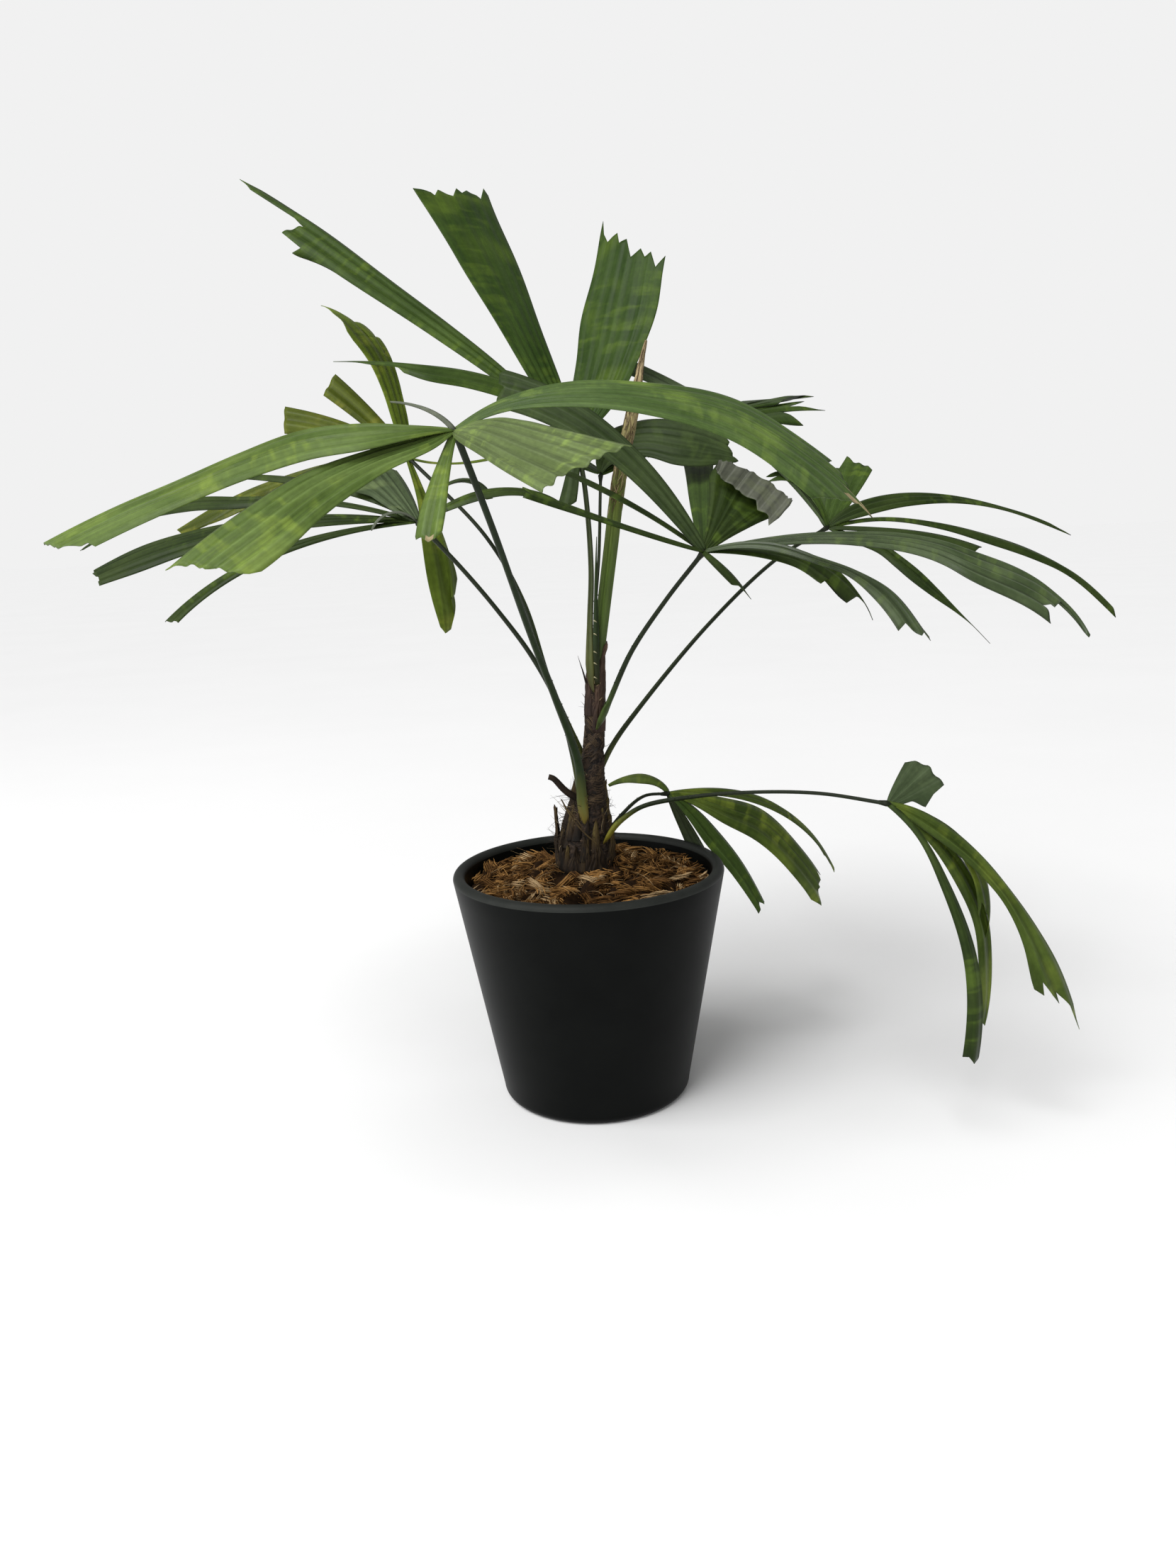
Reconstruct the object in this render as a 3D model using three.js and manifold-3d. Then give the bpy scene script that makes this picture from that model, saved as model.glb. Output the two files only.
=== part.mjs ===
// Potted licuala palm: a young fan palm with nine divided fan leaves and one unopened spear leaf,
// on a short fibre-wrapped trunk, in a tapered round pot filled with coir chips.
// Millimetres, +Z up, origin at the centre of the pot's flat underside, seen from -Y.
import * as THREE from "three";
import { mergeVertices } from "three/addons/utils/BufferGeometryUtils.js";
import Module from "manifold-3d";

const wasm = await Module();
wasm.setup();

// Pot
const POT_HEIGHT = 130;
const POT_RIM_RADIUS = 75;
const POT_BASE_RADIUS = 53;
const POT_WALL = 6.5;
const POT_FLOOR = 5;
const POT_BASE_ROUND = 5;
const POT_SIDES = 36;

// Coir fill
const COIR_EDGE_HEIGHT = 121;
const COIR_CROWN = 5;
const COIR_LUMP = 1.6;

// Trunk: height, sideways place and radius at each level, from the flat cut on the coir
const TRUNK_FOOT = 122;
const TRUNK_LEVELS = [
  { z: TRUNK_FOOT, x: 0, r: 16 },
  { z: 131, x: 0, r: 18 },
  { z: 141, x: 0.5, r: 17.5 },
  { z: 151, x: 1, r: 14 },
  { z: 162, x: 1.5, r: 11 },
  { z: 175, x: 3, r: 8.2 },
  { z: 190, x: 5, r: 6.2 },
  { z: 206, x: 6.5, r: 5.4 },
  { z: 222, x: 7.3, r: 5.2 },
  { z: 236, x: 8, r: 4.8 },
  { z: 246, x: 9.5, r: 3 },
];
const TRUNK_SIDES = 14;
const TRUNK_RIDGES = 3;
const TRUNK_RIDGE_DEPTH = 0.07;

// Old leaf bases that stand out of the trunk's foot
const STUBS = [
  { from: [-4, -2, 168], to: [-20, -4, 183], thick: 4.4, thin: 3 },
  { from: [-12, -5, 146], to: [-21, -7, 167], thick: 7, thin: 1.2 },
  { from: [10, 6, 148], to: [16, 10, 160], thick: 6, thin: 1.4 },
];

// The unopened leaf, from the trunk's top to its dry tip
const SPEAR_PATH = [[9.5, -1, 244], [14, -1, 272], [19, 0, 303], [24, 0, 336], [32, 0, 379], [39, 0, 402]];
const SPEAR_RADII = [3.4, 4, 4.4, 3.6, 2.6, 1];

// Leaves
const GAP = 0.3;
const BLADE_THICKNESS = 2;
const THICKNESS_SHARE = 0.012;
const HUB_RADIUS = 4.5;
const PETIOLE_SIDES = 6;
const WIDENING = 0.65;
const LEAFLET_FOOT = 1.6;
const PLEAT_SHARE = 0.07;
const TOOTH_SHARE = 0.035;
const PATH_STEPS = 40;

// Each leaf has a hub, a petiole that starts inside the trunk, and fans of leaflets.
// A leaflet leaves the hub at a heading (0 is +X, 90 is +Y) and a rise above level, in degrees.
// It droops by so many degrees over its length, late in it where bend is over 1.
// Roll lifts its right-hand side, seen from the hub. Slant cuts its end: over 0, the right side is shorter.
// Flare is how late it widens, and taper how much narrower it gets again towards its end.
// A leaf with two fans is parted by an upright plane through its hub, at the heading split.
const LEAVES = [
  {
    name: "front_left",
    hub: [-48, -120, 354],
    petiole: [[0, -6, 166], [-5, -14, 190], [-13, -30, 227], [-23, -52, 261], [-36, -90, 312]],
    thick: 2.9,
    thin: 1.9,
    split: 100,
    fans: [
      [
        { heading: 150, rise: 20, droop: 20, length: 34, width: 5, roll: 20 },
        { heading: 190, rise: 9, droop: 39, bend: 0.6, length: 178, width: 34, roll: 20, slant: -0.1 },
        { heading: 212, rise: -25, droop: 3, length: 130, width: 38, roll: 26, slant: -0.25 },
        { heading: 256, rise: -46, droop: 10, length: 57, width: 13, roll: 0 },
      ],
      [
        { heading: 300, rise: -8, droop: 6, length: 121, width: 44, roll: -28, slant: 0.1 },
        { heading: 5, rise: 26, droop: 77, length: 192, width: 41, flare: 0.85, roll: -32, slant: -0.08 },
      ],
    ],
  },
  {
    name: "top",
    hub: [3, 25, 359],
    petiole: [[7, 0, 225], [5.5, 2, 262], [6, 10, 292], [5, 20, 335]],
    thick: 2.1,
    thin: 1.5,
    split: 85,
    fans: [
      [
        { heading: 133, rise: 58, droop: 0, length: 165, width: 52, roll: 0 },
        { heading: 165, rise: 41, droop: 7, length: 242, width: 27, roll: 35, slant: -0.2 },
        { heading: 182, rise: 40, droop: 38, bend: 0.8, length: 126, width: 10, taper: 0.6, roll: 35 },
        { heading: 235, rise: -55, droop: 20, length: 42, width: 12, roll: 0 },
        { heading: 104, rise: 18, droop: 30, length: 150, width: 34, roll: 0 },
      ],
      [{ heading: 62, rise: 50, droop: -9, length: 147, width: 54, flare: 0.5, taper: 0.25, roll: 0, slant: 0.2 }],
    ],
  },
  {
    name: "back",
    hub: [16, 42, 342],
    petiole: [[9, 3, 228], [9, 8, 262], [12, 22, 299], [14, 34, 328]],
    thick: 1.5,
    thin: 1.3,
    fans: [
      [
        { heading: -5, rise: 15, droop: 24, length: 92, width: 40, roll: -42, slant: -0.15 },
        { heading: 35, rise: 25, droop: 24, length: 178, width: 26, roll: -30 },
        { heading: 70, rise: 12, droop: 30, length: 150, width: 32, roll: 0 },
        { heading: 112, rise: 18, droop: 20, length: 120, width: 30, roll: 0 },
      ],
    ],
  },
  {
    name: "right",
    hub: [63, -45, 299],
    petiole: [[7, -2, 200], [15, -6, 222], [27, -13, 248], [45, -26, 275]],
    thick: 2.3,
    thin: 1.7,
    split: 75,
    fans: [
      [
        { heading: 85, rise: 27, droop: 5, length: 130, width: 18, roll: 0 },
        { heading: 140, rise: 33, droop: 12, length: 92, width: 8, roll: 0 },
        { heading: 165, rise: 58, droop: 40, length: 138, width: 22, roll: 60 },
        { heading: 190, rise: 20, droop: 4, length: 132, width: 8, roll: 20 },
      ],
      [
        { heading: 45, rise: 40, droop: 4, length: 56, width: 54, flare: 0.9, roll: -32 },
        { heading: -5, rise: 8, droop: 56, bend: 1.3, length: 205, width: 25, flare: 0.9, roll: -32, slant: 0.3 },
        { heading: -12, rise: 3, droop: 46, length: 90, width: 18, roll: -20 },
        { heading: -28, rise: 8, droop: 63, length: 119, width: 16, roll: -30 },
        { heading: -60, rise: -26, droop: 12, length: 38, width: 7, roll: 0 },
      ],
    ],
  },
  {
    name: "back_right",
    hub: [148, 70, 308],
    petiole: [[6, 1, 178], [16, 5, 196], [31, 13, 214], [73, 35, 257], [115, 56, 291]],
    thick: 2.2,
    thin: 1.6,
    split: 85,
    fans: [
      [
        { heading: 140, rise: 70, droop: 50, length: 60, width: 14, roll: 30 },
        { heading: 180, rise: 58, droop: 36, length: 154, width: 18, roll: 40 },
      ],
      [
        { heading: 82, rise: 25, droop: 20, length: 110, width: 26, roll: 0 },
        { heading: 62, rise: 35, droop: 0, length: 68, width: 28, roll: 0 },
        { heading: 12, rise: 32, droop: 66, bend: 0.8, length: 168, width: 15, taper: 0.6, roll: -30 },
        { heading: -3, rise: 11, droop: 62, length: 190, width: 11, taper: 0.6, roll: -35 },
        { heading: -12, rise: 0, droop: 34, length: 108, width: 9, roll: -30 },
        { heading: -25, rise: -18, droop: 34, length: 114, width: 12, taper: 0.5, roll: -30 },
      ],
    ],
  },
  {
    name: "back_left",
    hub: [-95, 80, 358],
    petiole: [[2, 3, 186], [-9, 5, 212], [-17, 8, 233], [-29, 22, 274], [-50, 46, 311]],
    thick: 1.9,
    thin: 1.3,
    fans: [
      [
        { heading: 150, rise: 86, droop: 66, bend: 1.5, length: 108, width: 25, roll: 0, slant: 0.4 },
        { heading: 160, rise: 47, droop: 8, length: 62, width: 16, roll: 45 },
        { heading: 172, rise: 28, droop: 18, length: 76, width: 18, roll: 60 },
        { heading: 188, rise: -9, droop: 17, length: 138, width: 22, roll: 30 },
        { heading: 318, rise: -66, droop: 14, length: 104, width: 17, roll: 0, slant: -0.05 },
        { heading: 10, rise: -30, droop: -42, bend: 0.5, length: 52, width: 5, roll: 0 },
      ],
    ],
  },
  {
    name: "left",
    hub: [-84, 15, 320],
    petiole: [[-2, -2, 160], [-9, -4, 190], [-17, -5, 219], [-27, -3, 246], [-43, 2, 272], [-62, 9, 296]],
    thick: 2.5,
    thin: 1.6,
    fans: [
      [
        { heading: 195, rise: -1, droop: 37, length: 140, width: 10, flare: 0.8, roll: 25 },
        { heading: 185, rise: 6, droop: 26, length: 171, width: 18, roll: 25 },
        { heading: 173, rise: 20, droop: 43, length: 198, width: 12, roll: 25 },
        { heading: 158, rise: 20, droop: 14, length: 124, width: 6, roll: 0 },
        { heading: 125, rise: 38, droop: 10, length: 55, width: 34, roll: 0 },
        { heading: 200, rise: 50, droop: 120, length: 40, width: 5, roll: 0 },
        { heading: 5, rise: 26, droop: 46, length: 84, width: 7, roll: -20 },
      ],
    ],
  },
  {
    name: "low_right",
    hub: [150, -65, 173],
    petiole: [[6, -7, 140], [16, -10, 152], [28, -14, 164], [54, -26, 172], [84, -38, 176], [118, -52, 177]],
    thick: 2.6,
    thin: 1.2,
    fans: [
      [
        { heading: 42, rise: 18, droop: 0, length: 38, width: 25, flare: 0.8, roll: -40 },
        { heading: -5, rise: -9, droop: 62, bend: 0.45, length: 154, width: 15, roll: -50, slant: 0.12 },
        { heading: -40, rise: -34, droop: 56, bend: 0.6, length: 136, width: 9, roll: -30 },
        { heading: 8, rise: -40, droop: 56, bend: 1.3, length: 140, width: 11, roll: -40 },
        { heading: 28, rise: -28, droop: 70, bend: 1.2, length: 105, width: 9, roll: -40 },
      ],
    ],
  },
  {
    name: "low_back",
    hub: [48, 30, 162],
    petiole: [[8, 4, 142], [20, 12, 155], [33, 21, 163]],
    thick: 1.6,
    thin: 1.2,
    fans: [
      [
        { heading: 155, rise: 42, droop: 70, length: 42, width: 7, roll: 0 },
        { heading: 30, rise: 4, droop: 55, length: 135, width: 12, roll: -30 },
        { heading: 10, rise: -10, droop: 54, length: 118, width: 20, roll: -40 },
        { heading: -8, rise: -47, droop: 5, length: 88, width: 10, roll: 0 },
        { heading: 35, rise: -58, droop: 4, length: 52, width: 14, roll: 0 },
      ],
    ],
  },
];

const DEGREE = Math.PI / 180;
const vector = (p) => new THREE.Vector3(p[0], p[1], p[2]);

// A closed three.js geometry as a solid for joins and cuts
function solidOf(geometry) {
  const bare = geometry.clone();
  bare.deleteAttribute("normal");
  bare.deleteAttribute("uv");
  const merged = mergeVertices(bare);
  const vertProperties = new Float32Array(merged.attributes.position.array);
  const triVerts = new Uint32Array(merged.index.array);
  return new wasm.Manifold(new wasm.Mesh({ numProp: 3, vertProperties, triVerts }));
}

// A solid back as a three.js geometry
function geometryOf(solid) {
  const mesh = solid.getMesh();
  const geometry = new THREE.BufferGeometry();
  geometry.setAttribute("position", new THREE.Float32BufferAttribute(mesh.vertProperties, 3));
  geometry.setIndex(Array.from(mesh.triVerts));
  geometry.computeVertexNormals();
  return geometry;
}

// The one largest body of a solid that a cut left in pieces
function largest(solid) {
  const bodies = solid.decompose();
  return bodies.reduce((best, body) => (body.volume() > best.volume() ? body : best));
}

const union = (solids) => solids.reduce((sum, solid) => sum.add(solid));

// A closed skin over rings of points, each with the same even count.
// A ring runs along one face and back along the other, and its two end caps are ladders between them.
function skin(rings) {
  const count = rings[0].length;
  const position = rings.flat().flatMap((p) => [p.x, p.y, p.z]);
  const index = [];
  const quad = (a, b, c, d) => index.push(a, b, c, a, c, d);
  for (let i = 0; i + 1 < rings.length; i++) {
    for (let k = 0; k < count; k++) {
      const next = (k + 1) % count;
      quad(i * count + k, i * count + next, (i + 1) * count + next, (i + 1) * count + k);
    }
  }
  const last = (rings.length - 1) * count;
  for (let k = 0; k + 1 < count / 2; k++) {
    const across = count - 1 - k;
    quad(k, across, across - 1, k + 1);
    quad(last + k, last + k + 1, last + across - 1, last + across);
  }
  const geometry = new THREE.BufferGeometry();
  geometry.setAttribute("position", new THREE.Float32BufferAttribute(position, 3));
  geometry.setIndex(index);
  return geometry;
}

// A tapering limb along a smooth curve through points, with a radius at each
function limb(points, radii, sides, steps) {
  const curve = new THREE.CatmullRomCurve3(points.map(vector));
  const frames = curve.computeFrenetFrames(steps, false);
  const rings = [];
  for (let i = 0; i <= steps; i++) {
    const place = (i / steps) * (radii.length - 1);
    const low = Math.min(Math.floor(place), radii.length - 2);
    const radius = THREE.MathUtils.lerp(radii[low], radii[low + 1], place - low);
    const centre = curve.getPointAt(i / steps);
    const ring = [];
    for (let k = 0; k < sides; k++) {
      const angle = (k / sides) * 2 * Math.PI;
      ring.push(
        centre
          .clone()
          .addScaledVector(frames.normals[i], radius * Math.cos(angle))
          .addScaledVector(frames.binormals[i], radius * Math.sin(angle)),
      );
    }
    rings.push(ring);
  }
  return solidOf(skin(rings));
}

// The pot: a turned wall with a rounded foot, a thick rounded rim and an open top
function innerRadius(z) {
  return THREE.MathUtils.lerp(POT_BASE_RADIUS, POT_RIM_RADIUS, z / POT_HEIGHT) - POT_WALL;
}

function pot() {
  const rimRound = POT_WALL / 2;
  const rimMiddle = POT_RIM_RADIUS - rimRound;
  const profile = [new THREE.Vector2(0, 0)];
  for (const angle of [-90, -45, 0]) {
    const x = POT_BASE_RADIUS - POT_BASE_ROUND + POT_BASE_ROUND * Math.cos(angle * DEGREE);
    const y = POT_BASE_ROUND + POT_BASE_ROUND * Math.sin(angle * DEGREE);
    profile.push(new THREE.Vector2(x, y));
  }
  for (const angle of [0, 45, 90, 135, 180]) {
    const x = rimMiddle + rimRound * Math.cos(angle * DEGREE);
    const y = POT_HEIGHT - rimRound + rimRound * Math.sin(angle * DEGREE);
    profile.push(new THREE.Vector2(x, y));
  }
  profile.push(new THREE.Vector2(innerRadius(POT_FLOOR), POT_FLOOR));
  profile.push(new THREE.Vector2(0, POT_FLOOR));
  return solidOf(new THREE.LatheGeometry(profile, POT_SIDES).rotateX(Math.PI / 2));
}

// The fill: a plug inside the pot whose lumpy top is a low dome
function coirFill() {
  const floor = POT_FLOOR + GAP;
  const edge = innerRadius(COIR_EDGE_HEIGHT) - 2 * GAP;
  const profile = [
    new THREE.Vector2(0, floor),
    new THREE.Vector2(innerRadius(floor) - 2 * GAP, floor),
    new THREE.Vector2(edge, COIR_EDGE_HEIGHT),
  ];
  for (const share of [0.8, 0.6, 0.4, 0.2, 0]) {
    profile.push(new THREE.Vector2(edge * share, COIR_EDGE_HEIGHT + COIR_CROWN * (1 - share * share)));
  }
  const geometry = new THREE.LatheGeometry(profile, 24).rotateX(Math.PI / 2);
  const place = geometry.attributes.position;
  for (let i = 0; i < place.count; i++) {
    const x = place.getX(i);
    const y = place.getY(i);
    if (place.getZ(i) > COIR_EDGE_HEIGHT + 1) {
      const lump = Math.sin(0.21 * x + 1) * Math.cos(0.24 * y) + Math.sin(0.37 * x - 0.29 * y);
      place.setZ(i, place.getZ(i) + COIR_LUMP * lump);
    }
  }
  return solidOf(geometry);
}

// The trunk, swollen and ridged by old leaf bases at its foot, with the stubs of three of them
function trunk(grow) {
  const rings = TRUNK_LEVELS.map((level, i) => {
    const ring = [];
    for (let k = 0; k < TRUNK_SIDES; k++) {
      const angle = (k / TRUNK_SIDES) * 2 * Math.PI;
      const ridge = 1 + TRUNK_RIDGE_DEPTH * Math.cos(TRUNK_RIDGES * angle + level.z / 9);
      const radius = level.r * ridge + grow;
      const end = i === 0 ? -grow : 0;
      const z = level.z + (i === TRUNK_LEVELS.length - 1 ? grow : end);
      ring.push(new THREE.Vector3(level.x + radius * Math.cos(angle), radius * Math.sin(angle), z));
    }
    return ring;
  });
  const stubs = STUBS.map((stub) => {
    const middle = stub.from.map((v, axis) => (v + stub.to[axis]) / 2);
    const radii = [stub.thick / 2 + grow, (stub.thick + stub.thin) / 4 + grow, stub.thin / 2 + grow];
    return limb([stub.from, middle, stub.to], radii, 6, 3);
  });
  return union([solidOf(skin(rings)), ...stubs]);
}

// A leaflet's spine: its place and its right, up and forward directions at a share of its length
function spine(hub, leaflet) {
  const { heading, rise, droop, length, roll, bend = 1 } = leaflet;
  const right = new THREE.Vector3(Math.sin(heading * DEGREE), -Math.cos(heading * DEGREE), 0);
  const out = new THREE.Vector3(Math.cos(heading * DEGREE), Math.sin(heading * DEGREE), 0);
  const pitchAt = (share) => (rise - droop * share ** bend) * DEGREE;
  const places = [vector(hub)];
  for (let i = 0; i < PATH_STEPS; i++) {
    const pitch = pitchAt((i + 0.5) / PATH_STEPS);
    const step = length / PATH_STEPS;
    const next = places[i].clone().addScaledVector(out, step * Math.cos(pitch));
    next.z += step * Math.sin(pitch);
    places.push(next);
  }
  return (share) => {
    const place = share * PATH_STEPS;
    const low = Math.min(Math.floor(place), PATH_STEPS - 1);
    const pitch = pitchAt(share);
    const forward = out.clone().multiplyScalar(Math.cos(pitch));
    forward.z = Math.sin(pitch);
    const flat = new THREE.Vector3().crossVectors(right, forward);
    const side = right.clone().multiplyScalar(Math.cos(roll * DEGREE));
    side.addScaledVector(flat, Math.sin(roll * DEGREE));
    return {
      centre: places[low].clone().lerp(places[low + 1], place - low),
      side,
      up: new THREE.Vector3().crossVectors(side, forward),
    };
  };
}

// A leaflet: a pleated wedge, narrow at the hub and cut off with teeth at its end
function leafletSolid(hub, leaflet, grow) {
  const { length, width, slant = 0, flare = WIDENING, taper = 0 } = leaflet;
  const at = spine(hub, leaflet);
  const columns = width > 18 ? 5 : 3;
  const rows = length > 90 ? 6 : 4;
  const thickness = Math.max(BLADE_THICKNESS, length * THICKNESS_SHARE) + 2 * grow;
  const rings = [];
  for (let row = 0; row <= rows; row++) {
    const top = [];
    const bottom = [];
    for (let k = 0; k < columns; k++) {
      const across = (2 * k) / (columns - 1) - 1;
      const raised = k % 2;
      const tooth = columns === 5 && !raised ? TOOTH_SHARE : 0;
      const cut = (Math.abs(slant) * (1 + Math.sign(slant) * across)) / 2;
      const share = (row / rows) * (1 - cut - tooth + grow / length);
      const half = LEAFLET_FOOT + (width / 2 - LEAFLET_FOOT) * share ** flare * (1 - taper * share ** 3);
      const { centre, side, up } = at(Math.min(share, 1));
      const point = centre.addScaledVector(side, across * (half + grow));
      const pleat = raised * PLEAT_SHARE * 2 * half;
      top.push(point.clone().addScaledVector(up, pleat + thickness / 2));
      bottom.unshift(point.clone().addScaledVector(up, pleat - thickness / 2));
    }
    rings.push([...top, ...bottom]);
  }
  return solidOf(skin(rings));
}

// One side of an upright plane through a leaf's hub, as a large block
function halfSpace(leaf, turn) {
  const size = 1000;
  const block = new THREE.BoxGeometry(size, size, size);
  block.translate(0, size / 2 + GAP / 2, 0);
  block.rotateZ((leaf.split + turn) * DEGREE);
  block.translate(...leaf.hub);
  return solidOf(block);
}

// A leaf's fans of leaflets, each joined round its share of the hub
function fanSolids(leaf, grow) {
  return leaf.fans.map((fan, i) => {
    const knob = new THREE.SphereGeometry(HUB_RADIUS + grow, 8, 6).translate(...leaf.hub);
    const joined = union([solidOf(knob), ...fan.map((leaflet) => leafletSolid(leaf.hub, leaflet, grow))]);
    return leaf.fans.length === 1 ? joined : largest(joined.intersect(halfSpace(leaf, i * 180)));
  });
}

// A petiole from inside the trunk to the hub
function petioleSolid(leaf, grow) {
  const points = [...leaf.petiole, leaf.hub];
  const radii = points.map((p, i) => {
    const share = i / (points.length - 1);
    return THREE.MathUtils.lerp(leaf.thick, leaf.thin, Math.min(1, 1.6 * share)) + grow;
  });
  return limb(points, radii, PETIOLE_SIDES, 10);
}

const COLOURS = {
  pot: new THREE.MeshStandardMaterial({ color: 0x1c2022, roughness: 0.5, metalness: 0 }),
  coir: new THREE.MeshStandardMaterial({ color: 0x9a6636, roughness: 0.95, metalness: 0 }),
  bark: new THREE.MeshStandardMaterial({ color: 0x4a3728, roughness: 0.9, metalness: 0 }),
  petiole: new THREE.MeshStandardMaterial({ color: 0x2f4425, roughness: 0.6, metalness: 0 }),
  spear: new THREE.MeshStandardMaterial({ color: 0x6f7d2c, roughness: 0.6, metalness: 0 }),
  blade: new THREE.MeshStandardMaterial({ color: 0x35542b, roughness: 0.55, metalness: 0 }),
};

const palm = new THREE.Group();

function addPiece(name, solid, material) {
  const mesh = new THREE.Mesh(geometryOf(solid), material);
  mesh.name = name;
  palm.add(mesh);
}

const trunkSpace = trunk(GAP);
addPiece("pot", pot(), COLOURS.pot);
addPiece("coir_fill", coirFill().subtract(trunkSpace), COLOURS.coir);
addPiece("trunk", trunk(0), COLOURS.bark);

// Petioles and the spear leaf are cut clear of the trunk and of those before them
const spear = largest(limb(SPEAR_PATH, SPEAR_RADII, 8, 10).subtract(trunkSpace));
addPiece("spear_leaf", spear, COLOURS.spear);
let taken = trunkSpace.add(limb(SPEAR_PATH, SPEAR_RADII.map((r) => r + GAP), 8, 10));
for (const leaf of LEAVES) {
  const own = union(fanSolids(leaf, GAP));
  const petiole = largest(petioleSolid(leaf, 0).subtract(taken).subtract(own));
  addPiece(`petiole_${leaf.name}`, petiole, COLOURS.petiole);
  taken = taken.add(petioleSolid(leaf, GAP));
  fanSolids(leaf, 0).forEach((fan, i) => addPiece(`blade_${leaf.name}_${i + 1}`, fan, COLOURS.blade));
}

export default palm;
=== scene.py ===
import math

import bpy
import numpy as np
from mathutils import Matrix, Vector, noise


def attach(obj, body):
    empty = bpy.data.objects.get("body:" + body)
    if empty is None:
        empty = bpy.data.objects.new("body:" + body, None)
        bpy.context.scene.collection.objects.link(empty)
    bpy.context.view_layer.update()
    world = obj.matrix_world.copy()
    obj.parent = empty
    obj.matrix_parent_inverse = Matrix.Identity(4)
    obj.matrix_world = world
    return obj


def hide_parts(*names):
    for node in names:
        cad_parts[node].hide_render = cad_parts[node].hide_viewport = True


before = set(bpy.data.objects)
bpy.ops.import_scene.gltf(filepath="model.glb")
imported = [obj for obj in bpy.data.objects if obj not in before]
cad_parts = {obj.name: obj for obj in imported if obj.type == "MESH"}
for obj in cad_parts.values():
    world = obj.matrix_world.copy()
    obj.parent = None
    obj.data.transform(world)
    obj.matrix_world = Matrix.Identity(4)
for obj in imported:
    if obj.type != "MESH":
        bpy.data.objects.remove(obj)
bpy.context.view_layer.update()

# Everything below is worked out in millimetres and handed to Blender in metres
MM = 0.001
rng = np.random.default_rng(7)

# Pot
POT_HEIGHT = 130.0
POT_RIM_RADIUS = 75.0
POT_BASE_RADIUS = 53.0
POT_WALL = 6.5
POT_FLOOR = 5.0
POT_BASE_ROUND = 5.0
POT_SIDES = 160

# Coir fill
COIR_EDGE_HEIGHT = 121.0
COIR_CROWN = 5.0
COIR_MOUND = 8.0
COIR_MOUND_REACH = 26.0
COIR_LUMP = 2.0
COIR_TUFTS = 460
COIR_STRAYS = 220

# Trunk: height, sideways place and radius at each level
TRUNK_FOOT = 122.0
TRUNK_LEVELS = [
    (TRUNK_FOOT, -1.5, 14.5), (131, -1.5, 16), (141, -1, 15.5), (151, 0, 13.4), (162, 1, 10.8), (175, 3, 8),
    (190, 5, 6.2), (206, 6.5, 5.4), (222, 7.3, 5.2), (236, 8, 4.8), (246, 9.5, 3),
]
TRUNK_SIDES = 120
TRUNK_ROWS = 300
WRAP_PITCH = 19.0
WRAP_FIBRES = 17
SMALL_HUSKS = 60
WOUND_BUNDLES = 130
PAINTED_HIGHLIGHT_LOOPS = 13

# Petioles
STALK_SIDES = 24
STALK_RINGS = 110
THORNS_A_SIDE = 7
THORN_SPACING = 7.0
KNOT_STRANDS = 7

# Unopened leaf
SPEAR_PATH = [
    (9.5, -1, 244), (14, -1, 272), (19, 0, 303), (24.3, 0, 336), (34.3, 0, 377), (38.3, 0, 396),
    (40.5, 0, 404),
]
SPEAR_RADII = [3.3, 3.4, 3.5, 3.4, 2.9, 0.4]
SPEAR_LENGTH = 158
SPEAR_SIDES = 72
SPEAR_RINGS = 220
SPEAR_FIBRES = 300

# Leaflets
WIDENING = 0.65
LEAFLET_FOOT = 1.6
PATH_STEPS = 40
LONGEST_SHARE = 1.25
PLEAT_WIDTH = 8.0
COLUMN_STEP = 0.9
ROW_STEP = 2.2
LEAF_THICKNESS = 0.34

# A leaflet's strip on the bake map: its length for each mm of the leaflet's, its margins along and across,
# and the width of its rim
STRIP_LENGTH = 1.3
STRIP_MARGINS = (3, 1)
STRIP_RIM = 0.6

# Light: strength of the sky as a lamp, and its brightness behind the floor
SKY_LIGHT = 0.34
SKY_SEEN = 0.88

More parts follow.
